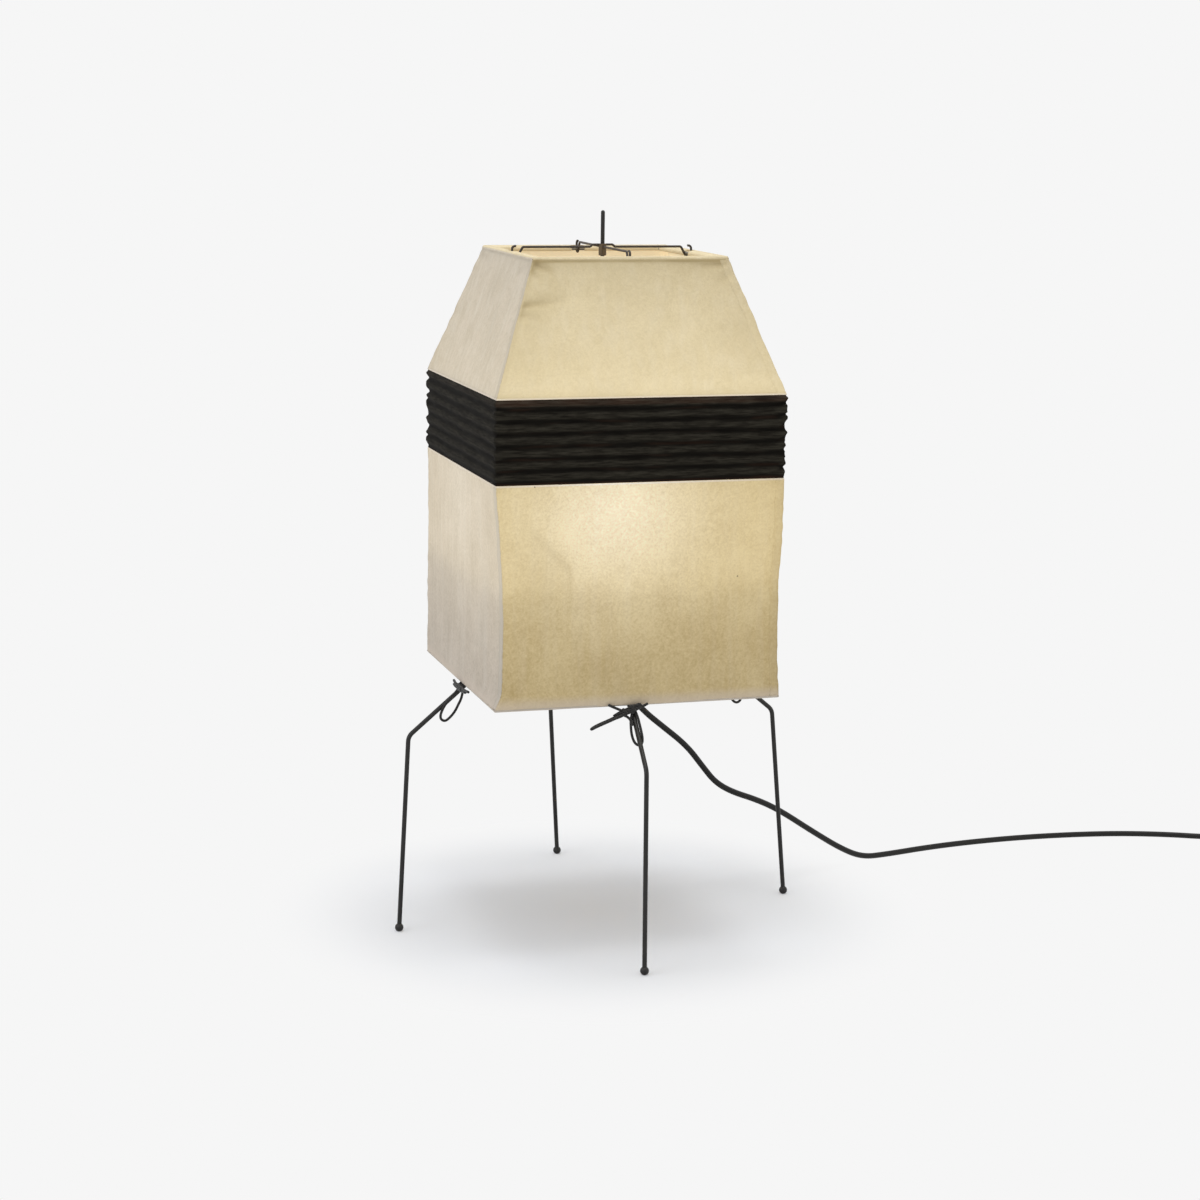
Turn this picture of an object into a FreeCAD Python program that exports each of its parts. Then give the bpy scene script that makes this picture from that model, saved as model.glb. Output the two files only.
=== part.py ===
import FreeCAD
import Part
import math
import os
from FreeCAD import Vector

# Square paper table lamp on four wire legs. Millimetres, +Z up, front is -Y.
# The origin is on the floor, midway between the feet.

# Levels of the shade above the floor
shade_bottom_level = 218.0
band_bottom_level = 406.0
band_top_level = 476.0
shade_top_level = 588.0

# Shade widths, paper and how far each lower corner bows in between its ends
shade_width = 250.0
mouth_width = 168.0
paper_thickness = 0.6
seam_gap = 0.06
seat_gap = 0.05
corner_bows = {"front_left": 9.0, "front_right": 3.5, "back_right": 4.0, "back_left": 1.5}
end_bow = 0.3
bow_height_shares = (0.0, 0.12, 0.32, 0.55, 0.78, 1.0)
bow_depth_shares = (0.0, 0.72, 1.0, 0.86, 0.45, 0.0)

# Pleated black band between the upper and the lower paper
pleat_count = 7
pleat_depth = 2.4
ridge_stand_out = 0.3
band_gap = 0.15
pleat_rise_shares = (0.0, 0.2, 0.5, 0.8)
pleat_depth_shares = (1.0, 0.8, 0.0, 0.8)

# Wires that hold the paper square
rim_wire = 3.0
hoop_wire = 2.0
rim_corner_radius = 5.0
hem_lap = 0.5
hem_gap = 0.5
hook_hem_gap = 12.0
tie_hem_gap = 20.0

# Stretcher: post, collar and four hooked arms
post_diameter = 3.5
post_top_level = 623.0
post_offset = 39.0
post_azimuth = 135.0
post_crank_low_level = 440.0
post_crank_high_level = 482.0
post_bend_radius = 18.0
post_socket_diameter = 9.0
post_socket_height = 14.0
post_clearance = 0.05
collar_diameter = 6.6
collar_height = 10.0
collar_clearance = 0.08
collar_screw_diameter = 2.0
arm_wire = 2.0
arm_level = 592.0
collar_above_arm = 2.6
arm_hump_rise = 1.8
arm_hump_reach = 9.0
arm_hump_run = 2.0
arm_bend_radius = 2.2
arm_dip_angle = 60.0
hook_clearance = 0.2
hook_paper_gap = 2.36
hook_riser = 4.4
hook_top_radius = 2.5
hook_top_angle = 110.0

# Legs, bent by hand: each is turned a little from the middle of its side, and its foot strays a little from its knee
leg_diameter = 4.0
leg_turns = {"front": -2.4, "right": 5.0, "back": -1.5, "left": 2.7}
foot_turns = {"front": -0.5, "right": -3.5, "back": -3.6, "left": 2.8}
foot_strays = {"front": 0.0, "right": 1.2, "back": -1.0, "left": 1.0}
side_azimuths = {"front": -90.0, "right": 0.0, "back": 90.0, "left": 180.0}
foot_radius = 182.0
knee_radius = 172.0
knee_level = 172.0
leg_bend_radius = 10.0
ball_diameter = 7.5
ball_flat_depth = 0.35

# Hub that joins the legs and carries the lampholder
hub_diameter = 44.0
hub_height = 10.0
hub_level = 241.0
hub_plate_diameter = 92.0
hub_plate_thickness = 3.0
leg_socket_reach = 8.5
leg_fit = 0.05
leg_screw_diameter = 3.0
leg_screw_radius = 16.0
screw_fit = 0.05

# Threaded tube, flex outlet and lampholder
nipple_diameter = 10.0
nipple_bore = 7.0
nipple_below_hub = 10.0
nipple_above_plate = 9.0
nipple_fit = 0.05
outlet_diameter = 18.0
outlet_depth = 18.0
outlet_axis_drop = 8.0
outlet_azimuth = 16.0
outlet_fall_share = 1.0
outlet_reach = 30.0
outlet_root_diameter = 12.0
outlet_tip_diameter = 8.6
holder_neck_diameter = 16.0
holder_neck_height = 10.0
holder_cup_height = 14.0
holder_diameter = 40.0
holder_wall = 2.0
holder_shell_height = 34.0
insulator_height = 6.0
sleeve_wall = 0.6
sleeve_height = 25.0
contact_diameter = 8.0
contact_height = 3.0

# Bulb
bulb_cap_diameter = 26.0
bulb_cap_height = 20.0
bulb_cap_wall = 0.8
bulb_cap_fit = 0.08
bulb_tip_diameter = 9.0
bulb_tip_height = 3.5
globe_diameter = 60.0
globe_rise = 46.0
glass_thickness = 1.0
stem_diameter = 6.0
stem_height = 26.0
stem_flange = 2.0
filament_wire = 1.0
filament_half_width = 9.0
filament_bend_radius = 4.0
filament_lead_offset = 2.0
filament_lead_height = 10.0

# String ties where the legs cross the bottom rim
string_diameter = 2.0
string_gap = 0.5
string_side_gap = 0.8
knot_diameter = 4.8
knot_out = 7.8
knot_drop = 3.1
lash_radius = 2.2
side_loop_width = 32.0
side_loop_drop = 13.0
long_loop_drop = 31.0
long_loop_half_width = 4.8
tail_length = 13.0

# Flex, in-line switch, coil and plug
flex_diameter = 5.5
flex_fit = 0.1
flex_route = [
    (23.12, 6.63, 203.95),
    (48.06, 13.78, 178.0),
    (67.3, 19.3, 162.0),
    (94.2, 27.0, 140.0),
    (112.5, 32.3, 117.0),
    (125.9, 36.1, 101.0),
    (144.2, 41.3, 89.5),
    (172.1, 49.3, 78.0),
    (197.1, 56.5, 64.5),
    (234.5, 67.2, 38.7),
    (269.2, 77.2, 16.0),
    (294.1, 84.3, 4.2),
    (322.0, 92.3, 2.75),
    (370.0, 104.5, 2.75),
    (420.0, 112.0, 2.75),
    (475.0, 115.0, 2.75),
    (530.0, 112.0, 2.75),
    (580.0, 104.0, 2.75),
    (625.0, 88.5, 2.75),
    (658.0, 71.0, 2.75),
    (686.0, 54.8, 7.0),
    (714.0, 38.6, 7.0),
]
run_azimuth = -30.0
switch_length = 58.0
switch_width = 24.0
switch_axis_level = 7.0
switch_height = 15.0
switch_wall = 2.0
switch_corner_radius = 6.0
switch_edge_radius = 2.0
switch_entry_depth = 12.0
rocker_length = 15.0
rocker_width = 9.4
rocker_height = 6.0
rocker_stand_out = 2.2
rocker_gap = 0.7
rocker_pin_diameter = 3.0
rocker_pin_reach = 1.6
rocker_pin_fit = 0.06
rocker_tilt = 8.0
coil_lead_run = 52.0
coil_drop_run = 24.0
coil_outer_radius = 40.0
coil_layer_gap = 0.6
coil_pitch = 8.0
coil_climb_step = 3.5
coil_exit_run = 36.0
coil_turns_in = 2
coil_turns_out = 1.75
tie_strap_thickness = 0.8
tie_strap_width = 8.0
tie_strap_gap = 0.8
tie_strap_lift = 0.2
plug_length = 38.0
plug_width = 26.0
plug_neck_width = 12.0
plug_neck_share = 0.35
plug_entry_depth = 10.0
plug_edge_radius = 3.0
pin_diameter = 4.0
pin_length = 19.0
pin_spacing = 19.0

# One overrun for every cut
overrun = 1.0

# Sizes that follow from the ones above
shade_half = shade_width / 2
mouth_half = mouth_width / 2
upper_height = shade_top_level - band_top_level
upper_slope = (shade_half - mouth_half) / upper_height
paper_across = paper_thickness * math.hypot(1, upper_slope)
hook_radius = rim_wire / 2 + hook_clearance + arm_wire / 2
top_rim_half = mouth_half - paper_across - hook_paper_gap - arm_wire / 2 - hook_radius
top_rim_level = shade_top_level - paper_thickness - seat_gap - rim_wire / 2
bottom_inner_half = shade_half - end_bow - paper_thickness
bottom_rim_half = bottom_inner_half - 2 * string_gap - string_diameter - rim_wire / 2
bottom_rim_level = shade_bottom_level + paper_thickness + seat_gap + rim_wire / 2
upper_hoop_inner = shade_half - upper_slope * hoop_wire - paper_across
upper_hoop_half = upper_hoop_inner - (hoop_wire / 2 + seat_gap) * math.hypot(1, upper_slope)
lower_hoop_half = shade_half - end_bow - 2 * paper_thickness - hoop_wire / 2
collar_top_level = arm_level + collar_above_arm
hub_bottom_level = hub_level - hub_height / 2
hub_top_level = hub_level + hub_height / 2
plate_top_level = hub_top_level + hub_plate_thickness
ball_level = ball_diameter / 2 - ball_flat_depth
flex_radius = flex_diameter / 2

parts_folder = "parts"
os.makedirs(parts_folder, exist_ok=True)


def save(name, shape):
    shape.exportStep(parts_folder + "/" + name + ".step")


def polar(radius, azimuth, level):
    angle = math.radians(azimuth)
    return Vector(radius * math.cos(angle), radius * math.sin(angle), level)


def turned_about_axis(shape, azimuth):
    copy = shape.copy()
    copy.rotate(Vector(0, 0, 0), Vector(0, 0, 1), azimuth)
    return copy


def tube(outer_diameter, inner_diameter, low, high):
    body = Part.makeCylinder(outer_diameter / 2, high - low, Vector(0, 0, low))
    bore = Part.makeCylinder(inner_diameter / 2, high - low, Vector(0, 0, low))
    return body.cut(bore)


def turned(outline):
    points = [Vector(radius, 0, level) for radius, level in outline]
    face = Part.Face(Part.makePolygon(points + points[:1]))
    return face.revolve(Vector(0, 0, 0), Vector(0, 0, 1), 360)


def square_outline(half, level):
    corners = [(-half, -half), (half, -half), (half, half), (-half, half)]
    points = [Vector(x, y, level) for x, y in corners]
    return Part.makePolygon(points + points[:1])


def square_ring(outer_half, inner_half, low, high):
    height = Vector(0, 0, high - low)
    outer = Part.Face(square_outline(outer_half, low)).extrude(height)
    inner = Part.Face(square_outline(inner_half, low)).extrude(height)
    return outer.cut(inner)


# Straight runs joined by tangent arcs, with one radius for each inner point
def rounded_path(points, radii):
    edges = []
    start = points[0]
    for before, corner, after, radius in zip(points, points[1:], points[2:], radii):
        back = (before - corner).normalize()
        ahead = (after - corner).normalize()
        turn = math.pi - back.getAngle(ahead)
        reach = radius * math.tan(turn / 2)
        entry = corner + back * reach
        leave = corner + ahead * reach
        inward = (back + ahead).normalize()
        middle = corner + inward * (radius / math.cos(turn / 2) - radius)
        edges.append(Part.LineSegment(start, entry).toShape())
        edges.append(Part.Arc(entry, middle, leave).toShape())
        start = leave
    edges.append(Part.LineSegment(start, points[-1]).toShape())
    return edges


# The largest radius that two runs allow at each inner point of a limp line
limp_reach_share = 0.45


def limp_radii(points):
    radii = []
    for before, corner, after in zip(points, points[1:], points[2:]):
        turn = (corner - before).getAngle(after - corner)
        shorter = min((corner - before).Length, (after - corner).Length)
        radii.append(limp_reach_share * shorter / math.tan(turn / 2))
    return radii


def swept(edges, diameter):
    path = Part.Wire(edges)
    first = edges[0]
    start = first.valueAt(first.FirstParameter)
    heading = first.tangentAt(first.FirstParameter)
    ring = Part.Wire(Part.makeCircle(diameter / 2, start, heading))
    return path.makePipeShell([ring], True, False)


def bent_rod(points, diameter, radius):
    return swept(rounded_path(points, [radius] * len(points)), diameter)


# A square hoop of round wire, as two bent halves that meet at mid-side
def square_hoop(half, level, wire):
    first = [(0, -half), (half, -half), (half, half), (0, half)]
    points = [Vector(x, y, level) for x, y in first]
    side = bent_rod(points, wire, rim_corner_radius)
    return side.fuse(turned_about_axis(side, 180)).removeSplitter()


# Upper paper: four flat panels that meet along the sloping corners
def flat_panel_outline(half, level):
    inner = half - paper_across
    outer_end = half - seam_gap
    inner_end = inner - seam_gap
    corners = [(-outer_end, -half), (outer_end, -half), (inner_end, -inner), (-inner_end, -inner)]
    points = [Vector(x, y, level) for x, y in corners]
    return Part.makePolygon(points + points[:1])


def upper_panel():
    low = flat_panel_outline(shade_half, band_top_level)
    high = flat_panel_outline(mouth_half, shade_top_level)
    return Part.makeLoft([low, high], True, True)


# Lower paper: each side is a slight arch between two corners that bow in
def bowed_panel_outline(left_bow, right_bow, level):
    outer_left = Vector(-shade_half + left_bow + seam_gap, -shade_half + left_bow, level)
    outer_right = Vector(shade_half - right_bow - seam_gap, -shade_half + right_bow, level)
    outer_middle = Vector(0, -shade_half, level)
    inner_left = outer_left + Vector(paper_thickness, paper_thickness, 0)
    inner_right = outer_right + Vector(-paper_thickness, paper_thickness, 0)
    inner_middle = outer_middle + Vector(0, paper_thickness, 0)
    edges = [
        Part.Arc(outer_left, outer_middle, outer_right).toShape(),
        Part.LineSegment(outer_right, inner_right).toShape(),
        Part.Arc(inner_right, inner_middle, inner_left).toShape(),
        Part.LineSegment(inner_left, outer_left).toShape(),
    ]
    return Part.Wire(edges)


def lower_panel(left_corner, right_corner):
    outlines = []
    height = band_bottom_level - shade_bottom_level
    for height_share, depth_share in zip(bow_height_shares, bow_depth_shares):
        level = shade_bottom_level + height * height_share
        left_bow = end_bow + corner_bows[left_corner] * depth_share
        right_bow = end_bow + corner_bows[right_corner] * depth_share
        outlines.append(bowed_panel_outline(left_bow, right_bow, level))
    return Part.makeLoft(outlines, True, False)


# Accordion band: square outlines that step in from each ridge to a valley and out again
def band_surface(inset):
    ridge_half = shade_half + ridge_stand_out - inset
    low = band_bottom_level + band_gap
    pitch = (band_top_level - band_gap - low) / pleat_count
    outlines = []
    for pleat in range(pleat_count):
        for rise_share, depth_share in zip(pleat_rise_shares, pleat_depth_shares):
            half = ridge_half - pleat_depth * (1 - depth_share)
            outlines.append(square_outline(half, low + pitch * (pleat + rise_share)))
    outlines.append(square_outline(ridge_half, low + pitch * pleat_count))
    return Part.makeLoft(outlines, True, True)


def pleated_band():
    return band_surface(0).cut(band_surface(paper_thickness))


# Folded paper that joins a rim wire to the panels, cut away where wires cross it
def hem(outer_half, inner_half, low, gap_width, azimuths):
    strip = square_ring(outer_half, inner_half, low, low + paper_thickness)
    for azimuth in azimuths:
        reach = outer_half * 2
        corner = Vector(0, -gap_width / 2, low - overrun)
        gap = Part.makeBox(reach, gap_width, paper_thickness + 2 * overrun, corner)
        strip = strip.cut(turned_about_axis(gap, azimuth))
    return strip


sides = ["front", "right", "back", "left"]
side_corners = {
    "front": ("front_left", "front_right"),
    "right": ("front_right", "back_right"),
    "back": ("back_right", "back_left"),
    "left": ("back_left", "front_left"),
}
leg_azimuths = {side: side_azimuths[side] + leg_turns[side] for side in sides}

for side in sides:
    facing = side_azimuths[side] - side_azimuths["front"]
    save("upper_panel_" + side, turned_about_axis(upper_panel(), facing))
    save("lower_panel_" + side, turned_about_axis(lower_panel(*side_corners[side]), facing))

save("pleated_band", pleated_band())
save("top_rim_wire", square_hoop(top_rim_half, top_rim_level, rim_wire))
save("bottom_rim_wire", square_hoop(bottom_rim_half, bottom_rim_level, rim_wire))
save("upper_hoop", square_hoop(upper_hoop_half, band_top_level + hoop_wire, hoop_wire))
save("lower_hoop", square_hoop(lower_hoop_half, band_bottom_level - hoop_wire, hoop_wire))
save("top_hem", hem(
    mouth_half - paper_across - seat_gap,
    top_rim_half - rim_wire / 2 - hem_lap,
    shade_top_level - paper_thickness,
    hook_hem_gap,
    side_azimuths.values(),
))
save("bottom_hem", hem(
    bottom_inner_half - hem_gap,
    bottom_rim_half - rim_wire / 2 - hem_lap,
    shade_bottom_level,
    tie_hem_gap,
    leg_azimuths.values(),
))


# Legs: from the foot up to the knee, then a slope that carries the bottom rim and a level arm to the hub
def leg_points(side):
    rim_reach = bottom_rim_half / math.cos(math.radians(leg_turns[side]))
    across = rim_reach - knee_radius
    up = bottom_rim_level - knee_level
    rest = rim_wire / 2 + leg_diameter / 2 + seat_gap
    slope = math.atan2(up, -across) - math.asin(rest / math.hypot(across, up))
    shoulder = knee_radius - (hub_level - knee_level) / math.tan(slope)
    return {
        "knee": (knee_radius, knee_level),
        "shoulder": (shoulder, hub_level),
        "end": (leg_socket_reach, hub_level),
    }


def foot_centre(side):
    return polar(foot_radius + foot_strays[side], leg_azimuths[side] + foot_turns[side], ball_level)


def leg(side):
    upper = [polar(radius, leg_azimuths[side], level) for radius, level in leg_points(side).values()]
    return bent_rod([foot_centre(side)] + upper, leg_diameter, leg_bend_radius)


def ball_foot(side):
    centre = foot_centre(side)
    upward = polar(knee_radius, leg_azimuths[side], knee_level) - centre
    ball = Part.makeSphere(ball_diameter / 2, centre)
    bore_radius = leg_diameter / 2 + leg_fit
    bore = Part.makeCylinder(bore_radius, ball_diameter / 2 + overrun, centre, upward)
    below = Part.makeBox(ball_diameter, ball_diameter, ball_diameter)
    below.translate(centre - Vector(ball_diameter / 2, ball_diameter / 2, ball_level + ball_diameter))
    return ball.cut(bore).cut(below)


def hub():
    body = tube(hub_diameter, nipple_diameter + 2 * nipple_fit, hub_bottom_level, hub_top_level)
    socket_start = leg_socket_reach - leg_fit
    for azimuth in leg_azimuths.values():
        start = polar(socket_start, azimuth, hub_level)
        outward = polar(1, azimuth, 0)
        socket = Part.makeCylinder(leg_diameter / 2 + leg_fit, hub_diameter / 2, start, outward)
        base = polar(leg_screw_radius, azimuth, hub_bottom_level - overrun)
        hole = Part.makeCylinder(leg_screw_diameter / 2 + screw_fit, hub_height / 2 + overrun, base)
        body = body.cut(socket).cut(hole)
    return body


def leg_screws():
    length = hub_height / 2 - leg_diameter / 2 - seat_gap
    screws = []
    for azimuth in leg_azimuths.values():
        base = polar(leg_screw_radius, azimuth, hub_bottom_level)
        screws.append(Part.makeCylinder(leg_screw_diameter / 2, length, base))
    return Part.makeCompound(screws)


for side in sides:
    save("leg_" + side, leg(side))
    save("foot_" + side, ball_foot(side))
save("hub", hub())
save("leg_screws", leg_screws())
save("hub_plate", tube(
    hub_plate_diameter, nipple_diameter + 2 * nipple_fit, hub_top_level, plate_top_level))


# Post: beside the bulb, then cranked onto the axis above it
def post():
    top = post_top_level - post_diameter / 2
    rod = bent_rod([
        polar(post_offset, post_azimuth, plate_top_level + seat_gap),
        polar(post_offset, post_azimuth, post_crank_low_level),
        Vector(0, 0, post_crank_high_level),
        Vector(0, 0, top),
    ], post_diameter, post_bend_radius)
    return rod.fuse(Part.makeSphere(post_diameter / 2, Vector(0, 0, top))).removeSplitter()


def post_socket():
    bore = post_diameter + 2 * post_clearance
    socket = tube(post_socket_diameter, bore, plate_top_level, plate_top_level + post_socket_height)
    socket.translate(polar(post_offset, post_azimuth, 0))
    return socket


collar_middle_level = collar_top_level - collar_height / 2
collar_bore = post_diameter + 2 * collar_clearance


def collar():
    body = tube(collar_diameter, collar_bore, collar_top_level - collar_height, collar_top_level)
    hole_radius = collar_screw_diameter / 2 + screw_fit
    base = Vector(0, 0, collar_middle_level - hook_radius)
    toward = polar(1, post_azimuth, 0)
    return body.cut(Part.makeCylinder(hole_radius, collar_diameter, base, toward))


def collar_screw():
    start = polar(collar_bore / 2, post_azimuth, collar_middle_level - hook_radius)
    length = (collar_diameter - collar_bore) / 2
    return Part.makeCylinder(collar_screw_diameter / 2, length, start, polar(1, post_azimuth, 0))


# Arm: out from the collar, down inside the rim wire, under it, up and curled over
def arm(humped):
    dip = math.radians(arm_dip_angle)
    meet = (top_rim_half - hook_radius * math.sin(dip), top_rim_level - hook_radius * math.cos(dip))
    bend_radius = meet[0] - (arm_level - meet[1]) / math.tan(dip)
    start = collar_diameter / 2 + seat_gap
    run = [(start, arm_level), (bend_radius, arm_level), meet]
    if humped:
        high = arm_level + arm_hump_rise
        over = [(start, high), (arm_hump_reach, high), (arm_hump_reach + arm_hump_run, arm_level)]
        run = over + run[1:]
    points = [Vector(radius, 0, level) for radius, level in run]
    edges = rounded_path(points, [arm_bend_radius] * len(points))

    def around(radius, centre_level, angle):
        turn = math.radians(angle)
        return Vector(top_rim_half + hook_radius - hook_top_radius, 0, centre_level) + Vector(
            radius * math.cos(turn), 0, radius * math.sin(turn))

    def under_wire(angle):
        turn = math.radians(angle)
        offset = Vector(math.cos(turn), 0, math.sin(turn)) * hook_radius
        return Vector(top_rim_half, 0, top_rim_level) + offset

    low_angle = -90 - arm_dip_angle / 2
    riser_top = top_rim_level + hook_riser
    edges.append(Part.Arc(points[-1], under_wire(low_angle), under_wire(-90)).toShape())
    edges.append(Part.Arc(under_wire(-90), under_wire(-45), under_wire(0)).toShape())
    edges.append(Part.LineSegment(under_wire(0), around(hook_top_radius, riser_top, 0)).toShape())
    edges.append(Part.Arc(
        around(hook_top_radius, riser_top, 0),
        around(hook_top_radius, riser_top, hook_top_angle / 2),
        around(hook_top_radius, riser_top, hook_top_angle),
    ).toShape())
    return swept(edges, arm_wire)


save("post", post())
save("post_socket", post_socket())
save("collar", collar())
save("collar_screw", collar_screw())
for side in sides:
    save("arm_" + side, turned_about_axis(arm(side in ("left", "right")), side_azimuths[side]))

# Lampholder on a threaded tube through the hub
nipple_low = hub_bottom_level - nipple_below_hub
nipple_high = plate_top_level + nipple_above_plate
neck_top = plate_top_level + holder_neck_height
cup_top = neck_top + holder_cup_height
shell_top = cup_top + holder_shell_height
insulator_top = cup_top + insulator_height
holder_inner = holder_diameter - 2 * holder_wall
sleeve_inner = bulb_cap_diameter + 2 * bulb_cap_fit


def flex_outlet():
    axis_level = hub_bottom_level - outlet_axis_drop
    heading = polar(1, outlet_azimuth, -outlet_fall_share)
    length = outlet_reach * math.hypot(1, outlet_fall_share)
    origin = Vector(0, 0, axis_level)
    low = hub_bottom_level - outlet_depth
    block = Part.makeCylinder(outlet_diameter / 2, outlet_depth, Vector(0, 0, low))
    spout = Part.makeCone(outlet_root_diameter / 2, outlet_tip_diameter / 2, length, origin, heading)
    bore = Part.makeCylinder(flex_radius + flex_fit, length + overrun, origin, heading)
    socket_radius = nipple_diameter / 2 + nipple_fit
    socket_depth = nipple_below_hub + seat_gap
    socket = Part.makeCylinder(socket_radius, socket_depth, Vector(0, 0, nipple_low - seat_gap))
    return block.fuse(spout).cut(bore).cut(socket)


def holder_base():
    bore = nipple_diameter / 2 + nipple_fit
    neck = holder_neck_diameter / 2
    cup = holder_diameter / 2
    inner = cup - holder_wall
    return turned([
        (bore, plate_top_level),
        (neck, plate_top_level),
        (neck, neck_top),
        (cup, neck_top + holder_wall),
        (cup, cup_top),
        (inner, cup_top),
        (inner, neck_top + 2 * holder_wall),
        (bore, neck_top + holder_wall),
    ])


save("nipple", tube(nipple_diameter, nipple_bore, nipple_low, nipple_high))
save("flex_outlet", flex_outlet())
save("holder_base", holder_base())
save("holder_shell", tube(holder_diameter, holder_inner, cup_top, shell_top))
save("holder_insulator", Part.makeCylinder(
    holder_inner / 2 - seat_gap, insulator_height, Vector(0, 0, cup_top)))
save("holder_sleeve", tube(
    sleeve_inner + 2 * sleeve_wall, sleeve_inner, insulator_top, insulator_top + sleeve_height))
save("holder_contact", Part.makeCylinder(
    contact_diameter / 2, contact_height, Vector(0, 0, insulator_top)))

# Bulb: cap in the sleeve, clear globe, stem and filament
tip_low = insulator_top + contact_height + seat_gap
cap_low = tip_low + bulb_tip_height
cap_top = cap_low + bulb_cap_height
globe_level = cap_top + globe_rise
globe_radius = globe_diameter / 2
cap_radius = bulb_cap_diameter / 2
cap_inner = cap_radius - bulb_cap_wall


def globe_profile(neck_radius, radius):
    drop = cap_top - globe_level
    distance = math.hypot(neck_radius, drop)
    angle = math.atan2(drop, neck_radius) + math.acos(radius / distance)
    touch = Vector(radius * math.cos(angle), 0, globe_level + radius * math.sin(angle))
    half = (angle + math.pi / 2) / 2
    middle = Vector(radius * math.cos(half), 0, globe_level + radius * math.sin(half))
    top = Vector(0, 0, globe_level + radius)
    foot = Vector(neck_radius, 0, cap_top)
    axis_foot = Vector(0, 0, cap_top)
    edges = [
        Part.LineSegment(axis_foot, foot).toShape(),
        Part.LineSegment(foot, touch).toShape(),
        Part.Arc(touch, middle, top).toShape(),
        Part.LineSegment(top, axis_foot).toShape(),
    ]
    return Part.Face(Part.Wire(edges)).revolve(Vector(0, 0, 0), Vector(0, 0, 1), 360)


def bulb_glass():
    inner_radius = globe_radius - glass_thickness
    return globe_profile(cap_radius, globe_radius).cut(
        globe_profile(cap_radius - glass_thickness, inner_radius))


def bulb_stem():
    flange_low = cap_top - stem_flange
    flange = Part.makeCylinder(cap_inner - seat_gap, stem_flange, Vector(0, 0, flange_low))
    return flange.fuse(Part.makeCylinder(stem_diameter / 2, stem_height, Vector(0, 0, cap_top)))


def bulb_filament():
    low = cap_top + stem_height + filament_wire / 2
    spread_level = low + filament_lead_height
    crown = spread_level + 2 * filament_half_width
    half = [
        (-filament_lead_offset, low),
        (-filament_half_width, spread_level),
        (-filament_half_width, crown),
    ]
    mirrored = [(-across, level) for across, level in reversed(half)]
    points = [Vector(across, 0, level) for across, level in half + mirrored]
    return bent_rod(points, filament_wire, filament_bend_radius)


save("bulb_cap", tube(bulb_cap_diameter, 2 * cap_inner, cap_low, cap_top))
save("bulb_tip", turned([
    (0, tip_low),
    (bulb_tip_diameter / 2, tip_low),
    (cap_radius, cap_low),
    (0, cap_low),
]))
save("bulb_glass", bulb_glass())
save("bulb_stem", bulb_stem())
save("bulb_filament", bulb_filament())


# String ties: a lash round the rim and the leg, a knot, two bow loops and a tail
def string_tie(side):
    rim_reach = bottom_rim_half / math.cos(math.radians(leg_turns[side]))
    knot_reach = rim_reach + knot_out
    knot_level = shade_bottom_level - knot_drop
    lash_out = string_gap + (rim_wire + string_diameter) / 2
    beside = leg_diameter / 2 + string_side_gap + string_diameter / 2
    front = rim_reach + lash_out
    behind = rim_reach - lash_out
    over = bottom_rim_level + lash_out
    points = leg_points(side)
    slope = (points["shoulder"][1] - points["knee"][1]) / (points["knee"][0] - points["shoulder"][0])
    deep = behind - lash_out
    leg_above = points["knee"][1] + slope * (points["knee"][0] - deep)
    clear = (leg_diameter + string_diameter) / 2 + string_gap
    under = leg_above - clear * math.hypot(1, slope)
    near_knot = knot_diameter / 4
    lash_half = [
        (knot_reach, near_knot, knot_level),
        (front, beside, knot_level),
        (front, beside, over),
        (behind, beside, over),
        (deep, beside, under),
    ]
    mirrored = [(out, -across, level) for out, across, level in reversed(lash_half)]
    lash = [Vector(*point) for point in lash_half + mirrored]
    side_loop_shares = [(0.0, 0.0), (-0.5, -0.2), (-1.0, -0.75), (-0.9, -1.2), (-0.4, -0.75), (0.0, -0.1)]
    side_loop = [
        Vector(knot_reach + string_gap * step, side_loop_width * wide, knot_level + side_loop_drop * deep_share)
        for step, (wide, deep_share) in enumerate(side_loop_shares)
    ]
    long_loop_shares = [(0.45, 0.0), (1.0, -0.15), (1.1, -0.6), (0.7, -1.0), (-0.7, -1.0), (-1.1, -0.6),
                        (-1.0, -0.15), (-0.45, 0.0)]
    long_loop = [
        Vector(knot_reach, long_loop_half_width * wide, knot_level + long_loop_drop * deep_share)
        for wide, deep_share in long_loop_shares
    ]
    tail = [
        Vector(knot_reach, 0, knot_level),
        Vector(knot_reach + string_gap, tail_length / 2, knot_level),
        Vector(knot_reach + string_gap, tail_length, knot_level + string_diameter / 2),
    ]
    shape = Part.makeSphere(knot_diameter / 2, Vector(knot_reach, 0, knot_level))
    shape = shape.fuse(bent_rod(lash, string_diameter, lash_radius))
    for strand in (side_loop, long_loop, tail):
        shape = shape.fuse(swept(rounded_path(strand, limp_radii(strand)), string_diameter))
    return turned_about_axis(shape, leg_azimuths[side])


for side in sides:
    save("tie_" + side, string_tie(side))


# Flex from the outlet to the switch
def flex_run():
    points = [Vector(*point) for point in flex_route]
    radii = limp_radii(points)
    print("flex radii", [round(radius) for radius in radii])
    edges = rounded_path(points, radii)
    length = sum(edge.Length for edge in edges)
    solid = swept(edges, flex_diameter)
    section = math.pi * flex_radius**2
    print("flex length", round(length), "volume ratio", round(solid.Volume / (section * length), 4))
    return solid


# Pieces on the flex are modelled along +X from their own start, then laid in the run
run_end = Vector(*flex_route[-1])
run_start = Vector(run_end.x, run_end.y, 0) - polar(switch_entry_depth - flex_fit, run_azimuth, 0)


def laid_in_run(shape):
    copy = turned_about_axis(shape, run_azimuth)
    copy.translate(run_start)
    return copy


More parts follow.
